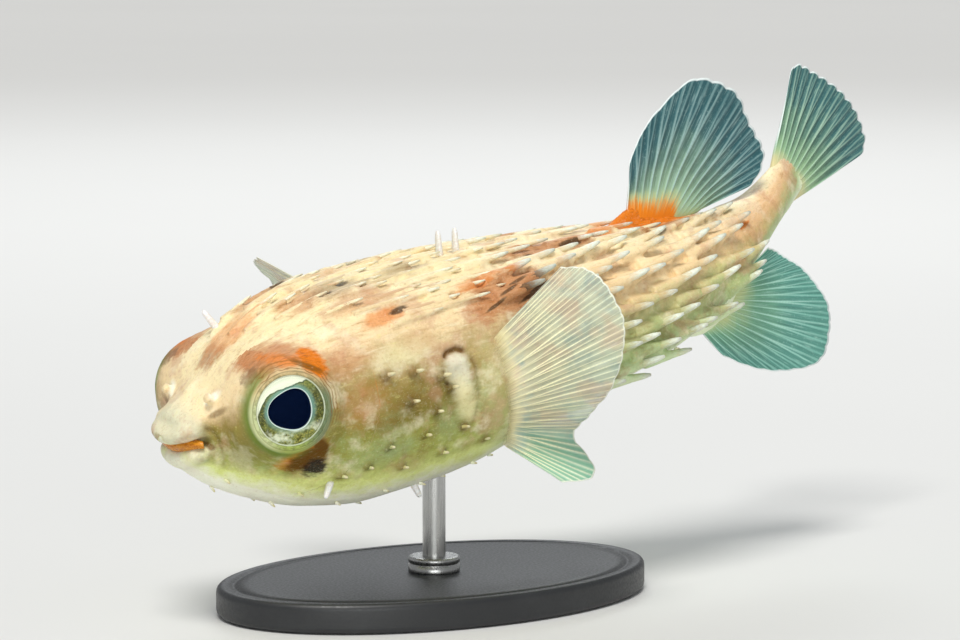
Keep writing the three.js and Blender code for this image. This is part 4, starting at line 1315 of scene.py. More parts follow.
@dataclass
class Quill:
    """One quill, stud or spine: where it grows, how it stands and its shape."""

    s: float
    angle: float
    length: float
    lift: float
    radius: float
    tip: float
    dice: float
    sunk: float = 1.2
    hug: float = 0.8
    lean: float = 0.0

    def path(self, body: Body, steps: int, share: float = 1.0) -> tuple[Array, Array]:
        """Works out its middle line, which follows the skin unless it stands up.

        Args:
            body: The body that it grows from.
            steps: How many points the line has.
            share: The share of the length that is wanted.

        Returns:
            The points, and the way that its top side looks.
        """
        lift, lean = math.radians(self.lift), math.radians(self.lean)
        t = np.linspace(0.0, share, steps)
        reach = t * (self.length + self.sunk) - self.sunk
        normal = body.normal(self.s, self.angle)
        back = body.lie(self.s, self.angle)
        upward = np.cross(back, normal) * (-1 if self.angle < 90 else 1)
        flat = back * math.cos(lean) + upward * math.sin(lean)
        straight = flat * math.cos(lift) + normal * math.sin(lift)
        points = body.point(self.s, self.angle) + straight * reach[:, None]
        if self.lift < 25:
            place, angle = self.over(body, reach * math.cos(lift))
            height = reach * math.sin(lift) - 0.3 * self.radius
            hugging = body.point(place, angle) + body.normal(place, angle) * height[:, None]
            points = points * (1 - self.hug) + hugging * self.hug
        return points, normal

    def over(self, body: Body, reach: Numbers) -> tuple[Numbers, Numbers]:
        """The place on the skin, as s and angle, that lies reach back from the root under the quill."""
        lean = math.radians(self.lean)
        place = self.s + reach * math.cos(lean) / body.stretch(self.s, self.angle)
        girth = float(body.half(self.s) + body.top(self.s)) / 2
        turn = math.degrees(1.0 / girth) * math.sin(lean) * (1 if self.angle < 90 else -1)
        return place, self.angle + reach * turn

    def foot(self, body: Body, share: float, below: float) -> Array:
        """The point of the skin under a share of its length, and so many degrees below it."""
        place, angle = self.over(body, self.length * share)
        return body.point(place, angle - below * (1 if self.angle < 90 else -1))

    def form(self, body: Body, sides: int = 8, steps: int = 9) -> Form:
        """Makes the quill with what the finish and the bake need.

        Args:
            body: The body that it grows from.
            sides: How many sides it has.
            steps: How many points long it is.

        Returns:
            The quill.
        """
        path, normal = self.path(body, steps)
        t = np.linspace(0.0, 1.0, steps)
        radii = self.tip + (self.radius - self.tip) * (1 - t**1.4)
        radii[-1] *= 0.62
        form = rod(path, radii, normal, sides)
        turns = circle(sides)
        along = np.concatenate((np.repeat(t, sides), [0.0, 1.0]))
        around = np.concatenate((np.tile(np.cos(turns), steps), [0.0, 0.0]))
        count = len(form.points)
        root = body.point(self.s, self.angle)[None]
        s, angle, rest = body.place(root)
        place = np.array([s[0], float(flank(angle)[0]) * DRUM, 0.0])
        form.marks = {
            "place": np.tile(place, (count, 1)),
            "rest": np.tile(rest[0], (count, 1)),
            "quill": stacked(along, self.dice, around),
        }
        corner = np.array([0.01 + 0.98 * self.s / 150, 0.01 + 0.98 * ((self.angle + 90) % 360) / 360])
        patch = 0.003
        form.unwrap = corner + stacked(along, (1 - around) / 2) * patch
        return form

    def sheath(self, body: Body, girth: float, share: float) -> Form:
        """The fleshy sheath round its root: how much wider it begins and how far it reaches."""
        path, normal = self.path(body, 7, share)
        return rod(path, self.radius * between((girth, 0.84), np.linspace(0.0, 1.0, 7)), normal, 8, 0.85)


@dataclass(frozen=True)
class Rows:
    """Staggered rows of quills: where they start and end, the distance between rows and between roots.

    The lowest angle that a row reaches goes from the first of lowest to the second over turning.
    """

    start: float
    end: float
    row: float
    gap: float
    lowest: tuple[float, float]
    turning: tuple[float, float]


@dataclass
class Coat:
    """The quills in staggered rows, the studs of the cheeks and the spikes of the belly."""

    body: Body
    rng: np.random.Generator
    nape_rows: Rows = Rows(19.5, 57.0, 5.0, 3.6, (64.0, 28.0), (20.0, 48.0))
    flank_rows: Rows = Rows(61.0, 120.0, 5.8, 4.6, (-46.0, -46.0), (61.0, 120.0))
    studs: Profile = (
        (34.7, 11), (40.0, 9), (45.0, 4), (38.6, -2), (43.5, -9), (41.2, -19), (34.1, -20), (37.2, -35),
        (46.5, -1), (49.1, -21), (45.1, -33), (53.6, -33), (30.5, -30), (26.0, -34),
    )
    spines: tuple[tuple[float, float, float, float], ...] = (
        (18.4, 106, 3.9, 88), (58.9, 83, 4.2, 94), (62.3, 83, 4.2, 93),
        (24.3, -41, 3.0, 118), (21.6, -84, 1.8, 90), (44.4, -70, 2.0, 80),
    )

    def is_bare(self, s: float, angle: float) -> bool:
        """Whether no quill grows at a place: under the dorsal fin and by the pectoral fins."""
        side = float(flank(angle))
        under_dorsal = 93 < s < 123 and side > 68
        by_pectoral = 44 < s < 66 and side < 26
        return under_dorsal or by_pectoral

    def roots(self, rows: Rows) -> Iterable[Triple]:
        """Walks over the roots of staggered rows.

        Args:
            rows: The rows.

        Returns:
            The place, angle and a random number for each root, one after the other.
        """
        for index in range(int((rows.end - rows.start) / rows.row) + 1):
            s = rows.start + index * rows.row
            pitch = rows.gap / math.radians(float(self.body.half(s) + self.body.top(s)) / 2)
            columns = int((90 - between(rows.lowest, float(ease(s, *rows.turning)))) / pitch)
            for k in range(-columns, columns + 1):
                angle = 90 + (k + 0.5 * (index % 2)) * pitch
                shift, turn, dice = self.rng.random(3)
                place = s + (shift - 0.5) * rows.row * 0.7, angle + (turn - 0.5) * pitch * 0.5
                if not self.is_bare(*place):
                    yield (*place, float(dice))

    def nape(self) -> list[Quill]:
        """The slender quills that lie flat on the forehead and behind it."""
        return [
            Quill(s, angle, 8.5 + 2.0 * dice, 3.2 + 1.5 * dice, 0.54, 0.24, dice, 1.4)
            for s, angle, dice in self.roots(self.nape_rows)
        ]

    def flanks(self) -> list[Quill]:
        """The stout quills of the back and flanks from the gill openings to the tail."""
        found = []
        for s, angle, dice in self.roots(self.flank_rows):
            on_back = float(ease(flank(angle), 45, 72))
            shrink = 1 - 0.35 * float(ease(s, 104, 132))
            length = (8.4 + 0.2 * on_back + 1.2 * dice) * shrink
            lift = 17 - 12 * on_back
            girth = (1.05 - 0.4 * on_back) * shrink**0.5
            lean = (3 - 6 * float(ease(s, 94, 116)) + 9 * (dice - 0.5)) * (1 - on_back)
            found.append(Quill(s, angle, length, lift, girth, 0.42 * girth, dice, hug=0.75, lean=lean))
        return found

    def cheeks(self) -> list[Quill]:
        """The short studs of the cheeks, on both sides."""
        found = []
        for hand in (-1, 1):
            for s, angle in self.studs:
                dice = float(self.rng.random())
                grown = float(ease(angle, -12, 4))
                length = 0.9 + 0.4 * dice + 0.9 * grown
                found.append(Quill(s, mirrored(angle, hand), length, 30, 0.4 + 0.12 * grown, 0.2, dice, 0.5))
        return found

    def spikes(self) -> list[Quill]:
        """The small spikes of chin, throat and belly."""
        found = []
        for index, s in enumerate(np.arange(11.0, 104.0, 8.4)):
            pitch = 8.2 / math.radians(float(self.body.half(s) + self.body.bottom(s)) / 2)
            for k in range(-int(44 / pitch), int(44 / pitch) + 1):
                shift, turn, dice = self.rng.random(3)
                angle = 270 + (k + 0.5 * (index % 2) + (turn - 0.5) * 0.4) * pitch
                angle = angle - 360 if angle > 270 else angle
                place, length = s + (shift - 0.5) * 3.0, 0.55 + 0.4 * dice
                found.append(Quill(place, angle, length, 30, 0.32, 0.14, float(dice), 0.4))
        return found

    def erect(self) -> list[Quill]:
        """The few spines that stand straight up."""
        return [Quill(s, angle, length, lift, 0.7, 0.46, 0.9, 1.5) for s, angle, length, lift in self.spines]

    def grow(self) -> dict[str, list[Quill]]:
        """Grows the whole coat.

        Returns:
            The quills of each piece, by the piece's name.
        """
        growers = {
            "quills_nape": self.nape, "quills_flanks": self.flanks, "studs_cheeks": self.cheeks,
            "spikes_belly": self.spikes, "spines_erect": self.erect,
        }
        return {name: grower() for name, grower in growers.items()}


@dataclass
class Skin:
    """One hide over head, trunk, tail and lips, with the fleshy feet of the fins."""

    body: Body
    mouth: Mouth
    under: float = 0.25
    coarse: float = 0.5
    fine: float = 0.36
    opening: float = 6.35
    socket: float = 4.4
    dorsal_foot: Foot = Foot(96, 121.5, 3.9, 1.5, 0.9)
    anal_foot: Foot = Foot(107, 129, -3.6, 2.2, 0.9)
    pad_at: float = 57.3
    pad_angle: float = -13
    pad_size: tuple[float, float, float] = (5.6, 9.4, 1.5)
    nostril_at: float = 9.0
    nostril_angle: float = 46
    folds: tuple[Fold, ...] = (
        Fold(((6.0, 14), (7.2, 4), (8.1, -7), (8.6, -25), (8.9, -45)), 0.4, 0.42, 0.5),
        Fold(((5.2, 24), (6.2, 16), (7.3, 6)), 0.7, -0.25, 0.0),
        Fold(((9.8, 6), (10.3, -8), (10.4, -26)), 0.9, -0.3, 0.0),
        Fold(((11.6, 34), (11.2, 16), (11.6, 0)), 0.6, 0.18, 0.15),
        Fold(((13.5, -34), (20.0, -36), (29.0, -38)), 0.45, 0.16, 0.3),
        Fold(((15.0, -42), (22.0, -44), (30.0, -45)), 0.45, 0.12, 0.2),
        Fold(((46.6, 10.5), (47.6, 13.5), (49.4, 14), (51.2, 11.5)), 0.5, 0.9, 1.5),
        Fold(((46.4, 10), (46.1, 4), (46.2, -3)), 0.3, 0.35, 0.5),
        Fold(((46.4, -6), (47.6, -16), (49.6, -24)), 0.9, 0.25, 0.2),
        Fold(((47.4, 8), (49.6, 7), (50.6, 0), (49.8, -9)), 1.1, -0.55, 0.0),
        Fold(((51.4, 10), (52.4, 2), (52.0, -10), (50.8, -22)), 0.5, 0.5, 0.55),
        Fold(((24.6, 18), (27.0, 8), (26.6, -6)), 0.8, 0.14, 0.12),
        Fold(((2.6, 78), (6.0, 84), (9.9, 92)), 1.0, -0.25, 0.0),
        Fold(((13.0, -60), (22.0, -64), (34.0, -66)), 0.5, 0.1, 0.1),
    )

    def trunk(self) -> Form:
        """The plain body from behind the lips to the root of the tail fin."""
        s = np.linspace(self.body.at[0], self.body.at[-1], 330)
        angles = np.linspace(0, 360, 240, endpoint=False)
        return lattice(self.body.point(s[:, None], angles[None], -self.under))

    def tail_root(self) -> Form:
        """The flesh that runs out over the root of the tail fin."""
        u = np.linspace(0, 1, 26)[:, None]
        turn = circle(48)[None]
        station = self.body.spine.at(143 + 12.5 * u[:, 0])
        wide = (0.15 + 2.0 * (1 - u**1.6)) * signed_power(np.cos(turn), 2 / self.body.fullness)
        high = (3.9 + 2.0 * ease(u, 0.3, 1.3)) * signed_power(np.sin(turn), 2 / self.body.fullness)
        return lattice(station.ring(wide, high))

    def padded(self, points: Array) -> Array:
        """Swells the fleshy pads under the pectoral fins.

        Args:
            points: The skin's points.

        Returns:
            The moved points.
        """
        for hand in (-1, 1):
            angle = mirrored(self.pad_angle, hand)
            normal = self.body.normal(self.pad_at, angle)
            across = unit(np.cross(normal, self.body.spine.at(self.pad_at).back))
            along = np.cross(across, normal)
            away = points - self.body.point(self.pad_at, angle)
            long, wide, high = self.pad_size
            spread = ((away @ along) / long) ** 2 + ((away @ across) / wide) ** 2
            share = np.exp(-(spread**1.2)) * (np.abs(away @ normal) < 8)
            points = points + normal * (high * share)[:, None]
        return points

    def nostril(self, hand: int) -> Form:
        """The small upright tube of a nostril.

        Args:
            hand: -1 on the left, 1 on the right.

        Returns:
            The tube, flared at its end.
        """
        angle = mirrored(self.nostril_angle, hand)
        normal = self.body.normal(self.nostril_at, angle)
        reach = np.array([-1.2, -0.5, 0.3, 0.9, 1.4, 1.65])
        path = self.body.point(self.nostril_at, angle) + normal * reach[:, None]
        return rod(path, np.array([1.3, 1.15, 0.9, 0.8, 0.95, 0.55]), np.array([1.0, 0, 0]), 14)

    def moulded(self, form: Form, voxel: float, rounds: int) -> Form:
        """Melts overlapping forms into one smooth surface.

        Args:
            form: The forms.
            voxel: How fine the surface is.
            rounds: How often it is smoothed.

        Returns:
            The surface.
        """
        mesh = bpy.data.meshes.new("clay")
        mesh.from_pydata(form.points.tolist(), [], form.faces)
        clay = placed("clay", mesh)
        remesh = clay.modifiers.new("melt", "REMESH")
        remesh.mode = "VOXEL"
        remesh.voxel_size = voxel
        soften = clay.modifiers.new("soften", "SMOOTH")
        soften.factor = 0.5
        soften.iterations = rounds
        shaped = clay.evaluated_get(bpy.context.evaluated_depsgraph_get()).to_mesh()
        points = np.empty(len(shaped.vertices) * 3)
        shaped.vertices.foreach_get("co", points)
        faces = [list(face.vertices) for face in shaped.polygons]
        bpy.data.objects.remove(clay)
        bpy.data.meshes.remove(mesh)
        return Form(points.reshape(-1, 3), faces)

    def normals(self, points: Array, faces: list[list[int]]) -> Array:
        """The outward directions at the points of a surface of quads."""
        quads = np.array([face for face in faces if len(face) == 4])
        cross = np.cross(points[quads[:, 2]] - points[quads[:, 0]], points[quads[:, 3]] - points[quads[:, 1]])
        total = np.zeros_like(points)
        for corner in range(4):
            np.add.at(total, quads[:, corner], cross)
        return unit(total)

    def orbits(self, points: Array) -> tuple[Array, Array]:
        """Sinks the sockets and raises the rings of skin round the eyes.

        Args:
            points: The skin's points.

        Returns:
            The moved points, and how far forward and up of the nearer eye each lies.
        """
        kept = np.full((len(points), 3), (30.0, 30.0, 0.0))
        nearest = np.full(len(points), 40.0)
        for hand in (-1, 1):
            rim, gaze, forward, up = self.body.eye(hand)
            depth, around = self.body.orbit(points, hand)
            near = (depth > -9) & (around < 16)
            ring = (
                0.16 * np.exp(-(((around - 6.75) / 0.3) ** 2))
                - 0.06 * np.cos(around * 11.0) * ease(around, 6.6, 7.0) * ease(around, 9.8, 8.0)
            )
            pit = -self.socket * (1 - ease(around, self.opening - 0.4, self.opening))
            away = points - rim
            points = points + gaze * (np.where(near, ring + pit, 0.0))[:, None]
            closer = near & (around < nearest)
            nearest[closer] = around[closer]
            kept[closer] = stacked(away @ forward, away @ up, 0.0)[closer]
        return points, kept

    def creased(self, points: Array, normals: Array) -> tuple[Array, Array]:
        """Presses the folds into the skin.

        Args:
            points: The skin's points.
            normals: Its outward directions.

        Returns:
            The moved points, and how much shade is painted at each in the folds.
        """
        depth = np.zeros(len(points))
        tint = np.zeros(len(points))
        for fold in self.folds:
            at, angles = np.array(fold.places, float).T
            knots = np.linspace(0, 1, len(at))
            t = np.linspace(0, 1, 46)
            s, angle = Curve(knots, at)(t), np.interp(t, knots, angles)
            fade = np.minimum(1.0, 6 * np.minimum(t, 1 - t) + 0.15)
            for hand in (-1, 1):
                line = self.body.point(s, mirrored(angle, hand))
                low, high = line.min(axis=0) - 4 * fold.width, line.max(axis=0) + 4 * fold.width
                near = np.flatnonzero(np.all((points > low) & (points < high), axis=1))
                away = np.linalg.norm(points[near, None] - line[None], axis=-1)
                closest = np.argmin(away, axis=1)
                share = np.exp(-((away[np.arange(len(near)), closest] / fold.width) ** 2)) * fade[closest]
                depth[near] += fold.depth * share
                tint[near] += fold.tint * share
        return points - normals * depth[:, None], tint

    def wrinkles(self, rest: Array, angle: Array) -> Array:
        """How high the fine wrinkles over nape and flanks stand."""
        strong = 0.22 * ease(flank(angle), 10, 60) * ease(rest[:, 0], 12, 24) * ease(rest[:, 0], 146, 120)
        return (0.05 + strong) * [noise.noise(Vector(row)) for row in rest * (0.1, 0.75, 0.75)]

    def shaded(self, points: Array, coat: dict[str, list[Quill]]) -> Array:
        """Finds where shade is painted on the skin: round the studs and under the tips of the quills.

        Args:
            points: The skin's points.
            coat: The quills.

        Returns:
            How strongly shade is painted at each point.
        """
        kinds = (
            ("studs_cheeks", 0.0, 0.0, 1.3, 0.7),
            ("quills_flanks", 0.35, 4.0, 0.9, 0.3),
            ("quills_flanks", 0.6, 4.0, 1.0, 0.42),
            ("quills_flanks", 0.85, 3.0, 1.1, 0.45),
            ("quills_nape", 0.9, 0.0, 0.9, 0.3),
        )
        spots = [
            (quill.foot(self.body, share, below), reach, strength)
            for name, share, below, reach, strength in kinds
            for quill in coat[name]
        ]
        tree = KDTree(len(spots))
        for index, (spot, _, _) in enumerate(spots):
            tree.insert(spot, index)
        tree.balance()
        painted_shade = np.zeros(len(points))
        for index, point in enumerate(points):
            for _, nearest, away in tree.find_n(point, 3):
                _, reach, strength = spots[nearest]
                painted_shade[index] = max(painted_shade[index], strength * math.exp(-((away / reach) ** 2)))
        return painted_shade

    def build(self, workshop: Workshop, hide: Hide, coat: dict[str, list[Quill]]) -> None:
        """Makes the skin.

        Args:
            workshop: What makes the piece.
            hide: The finish.
            coat: The quills, whose sheaths join the skin.
        """
        rolls = (self.mouth.upper, self.mouth.muzzle, self.mouth.lower)
        parts = [self.trunk(), self.tail_root(), *(self.mouth.roll(roll) for roll in rolls)]
        parts += [self.dorsal_foot.form(self.body), self.anal_foot.form(self.body)]
        smooth_body = self.moulded(join(parts), self.coarse, 9)
        smooth_body.points = self.mouth.parted(self.padded(smooth_body.points))
        parts = [smooth_body, self.nostril(-1), self.nostril(1)]
        parts += [quill.sheath(self.body, 1.5, 0.82) for quill in coat["quills_nape"]]
        parts += [quill.sheath(self.body, 1.75, 0.62) for quill in coat["quills_flanks"]]
        parts += [quill.sheath(self.body, 2.2, 0.6) for quill in coat["studs_cheeks"]]
        surface = self.moulded(join(parts), self.fine, 3)
        points, faces = surface.points, surface.faces
        _, angle, rest = self.body.place(points)
        normals = self.normals(points, faces)
        points = points + normals * self.wrinkles(rest, angle)[:, None]
        # tint is painted shade in the folds, round the studs and under the quills; the skin's finish reads it
        # as fold
        points, tint = self.creased(points, normals)
        tint = tint + self.shaded(points, coat)
        points, orbit = self.orbits(points)
        place = stacked(rest[:, 0], flank(angle) * DRUM, 0.0)
        form = Form(points, faces, {"place": place, "rest": rest, "orbit": orbit, "fold": tint})
        nodes = ["head", "trunk", "tail", "lip_upper", "lip_lower"]
        workshop.piece("skin", form, hide.skin(), "skin", nodes)


@dataclass
class Eye:
    """One eye: a mottled iris round a navy pupil under a clear dome."""

    body: Body
    hand: int
    dome_radius: float = 7.8
    iris: float = 5.8
    pupil: float = 3.58
    raised: float = 0.35
    raised_to: float = 0.6
    steps: int = 96
    lid: Profile = ((5.9, -0.22), (6.05, -0.04), (6.3, 0.02), (6.55, -0.06), (6.68, -0.3), (6.7, -0.8))
    behind: Profile = ((6.5, -2.0), (6.2, -4.0), (5.2, -6.4), (3.2, -8.4), (0.6, -9.2))

    def across(self, out: Numbers, depth: Numbers, turn: Array) -> Array:
        """Points at a distance from the eye's axis, out along it and round it."""
        rim, gaze, forward, up = self.body.eye(self.hand)
        ring = np.cos(turn)[:, None] * forward + np.sin(turn)[:, None] * up
        return rim + ring * np.reshape(out, (-1, 1)) + gaze * np.reshape(depth, (-1, 1))

    def globe(self) -> Form:
        """The iris, the pupil and the hidden back of the eyeball.

        Returns:
            The closed form, which keeps how far out each point lies between pupil and iris's edge.
        """
        turn = circle(self.steps)
        oval = 0.03 * np.cos(turn) + 0.045 * np.cos(2 * turn) + 0.06 * np.cos(3 * turn) - 0.03 * np.sin(turn)
        pupil = self.pupil * (1 + oval)
        rows, kept = [], []
        for t in np.linspace(0.02, 0.97, 9):
            rows.append(self.across(pupil * t, 0.42 - 0.45 * (pupil * t / self.pupil) ** 2, turn))
            kept.append(t - 1.0)
        for t in np.linspace(0.0, 1.0, 22):
            swell = 0.16 * np.exp(-((t / 0.09) ** 2)) + 0.1 * np.exp(-(((t - 0.9) / 0.06) ** 2))
            rows.append(self.across(pupil + (self.iris - pupil) * t, 0.12 - 0.42 * t**1.7 + swell, turn))
            kept.append(t)
        for index, (out, depth) in enumerate(self.lid + self.behind):
            rows.append(self.across(out, depth, turn))
            kept.append(1.0 + 0.04 * (index + 1))
        rim, _, forward, up = self.body.eye(self.hand)
        lift = [self.raised * (1 - abs(t)) if t < self.raised_to else 0.0 for t in kept]
        form = lattice(np.asarray(rows) + up * np.array(lift)[:, None, None])
        away = form.points - rim
        out = np.concatenate((np.repeat(kept, self.steps), [-1.0, 1.2]))
        form.marks = {"iris": stacked(out, away @ forward, away @ up)}
        return form

    def dome(self) -> Form:
        """The clear dome, a thin shell.

        Returns:
            The closed shell.
        """
        turn = circle(self.steps)
        widest = math.asin(self.iris / self.dome_radius)
        sunk = self.dome_radius * math.cos(widest)
        rows = []
        for radius, angles in ((0.0, np.linspace(0.01, widest, 24)), (0.2, np.linspace(widest, 0.01, 24))):
            for angle in angles:
                size = self.dome_radius - radius
                rows.append(self.across(size * math.sin(angle), size * math.cos(angle) - sunk, turn))
        return lattice(np.asarray(rows))

    def build(self, workshop: Workshop, globe: Material, dome: Material) -> None:
        """Makes both pieces of the eye.

        Args:
            workshop: What makes the pieces.
            globe: The finish of iris and pupil.
            dome: The finish of the clear dome.
        """
        side = "left" if self.hand < 0 else "right"
        workshop.piece(f"globe_{side}", self.globe(), globe, "eyes", [f"eye_{side}"])
        workshop.piece(f"dome_{side}", self.dome(), dome, "eyes")


@dataclass
class Fin:
    """A fin: thin web on rays that fork toward a scalloped margin."""

    body: Body
    name: str
    tint: FinTint
    rays: int
    rows: int = 44
    ray_steps: int = 12
    web: float = 0.09
    ray: float = 0.2
    pleat: float = 0.1
    wave: float = 0.35
    notch: float = 0.35
    rib: float = 0.12
    fork: float = 0.42
    split: float = 0.21
    rounding: float = 0.0
    flesh: float = 0.25
    flesh_reach: float = 0.16

    def ends(self, u: Array) -> tuple[Array, Array]:
        """Where the rays begin and end, by their place across the fin, from 0 to 1."""
        raise NotImplementedError

    def ribs(self, place: Array, v: Array) -> Array:
        """1 on a ray and falling to 0 on the web, by the place in rays and how far out it lies."""
        off = np.abs(place - np.round(place)) - self.split * ease(v, self.fork, self.fork + 0.5)
        return np.exp(-((off / (self.rib - 0.03 * ease(v, self.fork, 0.9))) ** 2))

    def form(self) -> Form:
        """Makes the fin, a thin plate with a rib on every ray.

        Returns:
            The fin.
        """
        columns = (self.rays - 1) * self.ray_steps + 1
        u = np.linspace(0, 1, columns)
        v = np.linspace(0, 1, self.rows)[:, None]
        place = u * (self.rays - 1)
        roots, tips = self.ends(u)
        length = np.linalg.norm(tips - roots, axis=-1)
        away = np.abs(place - np.round(place))
        ragged = 0.35 * np.sin(place * 2.3 + 1.0) * np.sin(place * 0.9)
        corner = 1 - np.clip(np.minimum(u, 1 - u) / 0.12, 0, 1)
        reach = 1 - (self.notch * (2 * away) ** 1.6 + 0.25 + 0.25 * ragged) / length
        reach = reach - self.rounding * (1 - np.sqrt(1 - corner**2))
        middle = roots + (tips - roots) * (v * reach)[..., None]
        normal = unit(np.cross(np.gradient(middle, axis=1), np.gradient(middle, axis=0)))
        strong = 0.84 + 0.16 * np.sin(np.round(place) * 2.4)
        ribs = self.ribs(place[None], v) * strong
        fold = self.pleat * np.cos(2 * math.pi * place) * ease(v, 0.12, 0.45) * (1 - 0.5 * ease(v, 0.6, 1.0))
        sway = self.wave * np.sin(place * 0.8 + v * 3.0) * v**1.5
        middle = middle + normal * (fold + sway)[..., None]
        half = self.web * (1 - 0.35 * v) + self.ray * ribs * ease(v, 0.02, 0.3) * (1 - 0.6 * v)
        plump = (1 - np.abs(2 * u - 1) ** self.body.fullness) ** (1 / self.body.fullness)
        half = half + self.flesh * ease(v, self.flesh_reach, 0.0) * plump
        half = half * (0.35 + 0.65 * ease(v, 1.0, 0.97))
        across = np.cumsum(np.linalg.norm(np.diff(middle, axis=1, prepend=middle[:, :1]), axis=-1), axis=1)
        side = np.minimum(across, across[:, -1:] - across)
        edge = np.minimum((1 - v) * length * reach, 0.15 + 3 * side)
        marks = {
            "web": stacked(ribs, v, edge),
            "fan": stacked(u, v * length, 0.0),
        }
        return self.plate(middle, normal * half[..., None], marks)

    def plate(self, middle: Array, offset: Array, marks: dict[str, Array]) -> Form:
        """Closes a sheet's two faces into a plate.

        Args:
            middle: The sheet, by rows and columns.
            offset: How far its faces lie off that.
            marks: What is kept at its points.

        Returns:
            The plate.
        """
        rows, columns = middle.shape[:2]
        front = np.arange(rows * columns).reshape(rows, columns)
        behind = front + rows * columns
        near = np.stack((front[:-1, :-1], front[:-1, 1:], front[1:, 1:], front[1:, :-1]), -1)
        far = np.stack((behind[:-1, :-1], behind[1:, :-1], behind[1:, 1:], behind[:-1, 1:]), -1)
        faces = near.reshape(-1, 4).tolist() + far.reshape(-1, 4).tolist()
        rim = np.concatenate((front[0], front[1:, -1], front[-1, -2::-1], front[-2:0:-1, 0]))
        ahead = np.roll(rim, -1)
        faces += np.stack((ahead, rim, rim + rows * columns, ahead + rows * columns), -1).tolist()
        points = np.concatenate(((middle + offset).reshape(-1, 3), (middle - offset).reshape(-1, 3)))
        doubled = {name: np.tile(each.reshape(-1, each.shape[-1]), (2, 1)) for name, each in marks.items()}
        return Form(points, faces, doubled)

    def build(self, workshop: Workshop) -> None:
        """Makes the fin's piece."""
        workshop.piece(f"{self.name}_web", self.form(), self.tint.material(), "fins", [self.name])


@dataclass
class MedianFin(Fin):
    """A fin on the back or the belly, its rays fanned from upright to laid back."""

    start: float = 0.0
    end: float = 0.0
    height: tuple[float, float] = (0.0, 0.0)
    lean: tuple[float, float] = (0.0, 0.0)
    length: tuple[float, ...] = ()

    def ends(self, u: Array) -> tuple[Array, Array]:
        """Where the rays begin and end.

        Args:
            u: Places across the fin.

        Returns:
            The roots and the tips.
        """
        whole = self.body.spine.at((self.start + self.end) / 2)
        station = self.body.spine.at(between((self.start, self.end), u))
        roots = station.centre + station.up * between(self.height, u)[:, None]
        angle = np.radians(between(self.lean, u))
        reach = Curve.even(self.length)(u)
        sign = math.copysign(1.0, self.height[0])
        out = np.outer(np.cos(angle) * sign, whole.up) + np.outer(np.sin(angle), whole.back)
        return roots, roots + out * reach[:, None]


@dataclass
class TailFin(Fin):
    """The fan at the end of the tail."""

    aim: float = 165.0
    root: float = 148.0
    spread: tuple[float, float] = (-17.0, 18.0)
    half: float = 4.0
    length: tuple[float, ...] = (26.3, 29.4, 31.6, 32.8, 30.5)

    def ends(self, u: Array) -> tuple[Array, Array]:
        """Where the rays begin and end.

        Args:
            u: Places across the fin.

        Returns:
            The roots and the tips.
        """
        aim, root = self.body.spine.at(self.aim), self.body.spine.at(self.root)
        roots = root.centre + np.outer(self.half * (1 - 2 * u), root.up)
        angle = np.radians(between(self.spread, u))
        out = np.outer(np.cos(angle), aim.back) - np.outer(np.sin(angle), aim.up)
        return roots, roots + out * Curve.even(self.length)(u)[:, None]


@dataclass
class PectoralFin(Fin):
    """A fin behind a gill opening, its rays turned about the middle one and out of its plane."""

    hand: int = -1
    middle: tuple[float, float, float] = (1.0, 0.0, 0.0)
    rise: tuple[float, float, float] = (0.0, 0.0, 1.0)
    swing: tuple[float, ...] = ()
    tilt: tuple[float, ...] = ()
    length: tuple[float, ...] = ()
    root_at: tuple[float, float] = (56.0, 58.5)
    root_angle: tuple[float, float] = (13.0, -44.0)
    out: float = 0.5

    def ends(self, u: Array) -> tuple[Array, Array]:
        """Where the rays begin and end.

        Args:
            u: Places across the fin.

        Returns:
            The roots and the tips.
        """
        ahead = unit(np.array(self.middle))
        above, out = square_to(ahead, np.array(self.rise))
        turn = np.radians(Curve.even(self.swing)(u))[:, None]
        lift = np.radians(Curve.even(self.tilt)(u))[:, None]
        way = (ahead * np.cos(turn) + above * np.sin(turn)) * np.cos(lift) + out * np.sin(lift)
        angle = mirrored(between(self.root_angle, u), self.hand)
        roots = self.body.point(between(self.root_at, u), angle, self.out)
        return roots, roots + way * Curve.even(self.length)(u)[:, None]


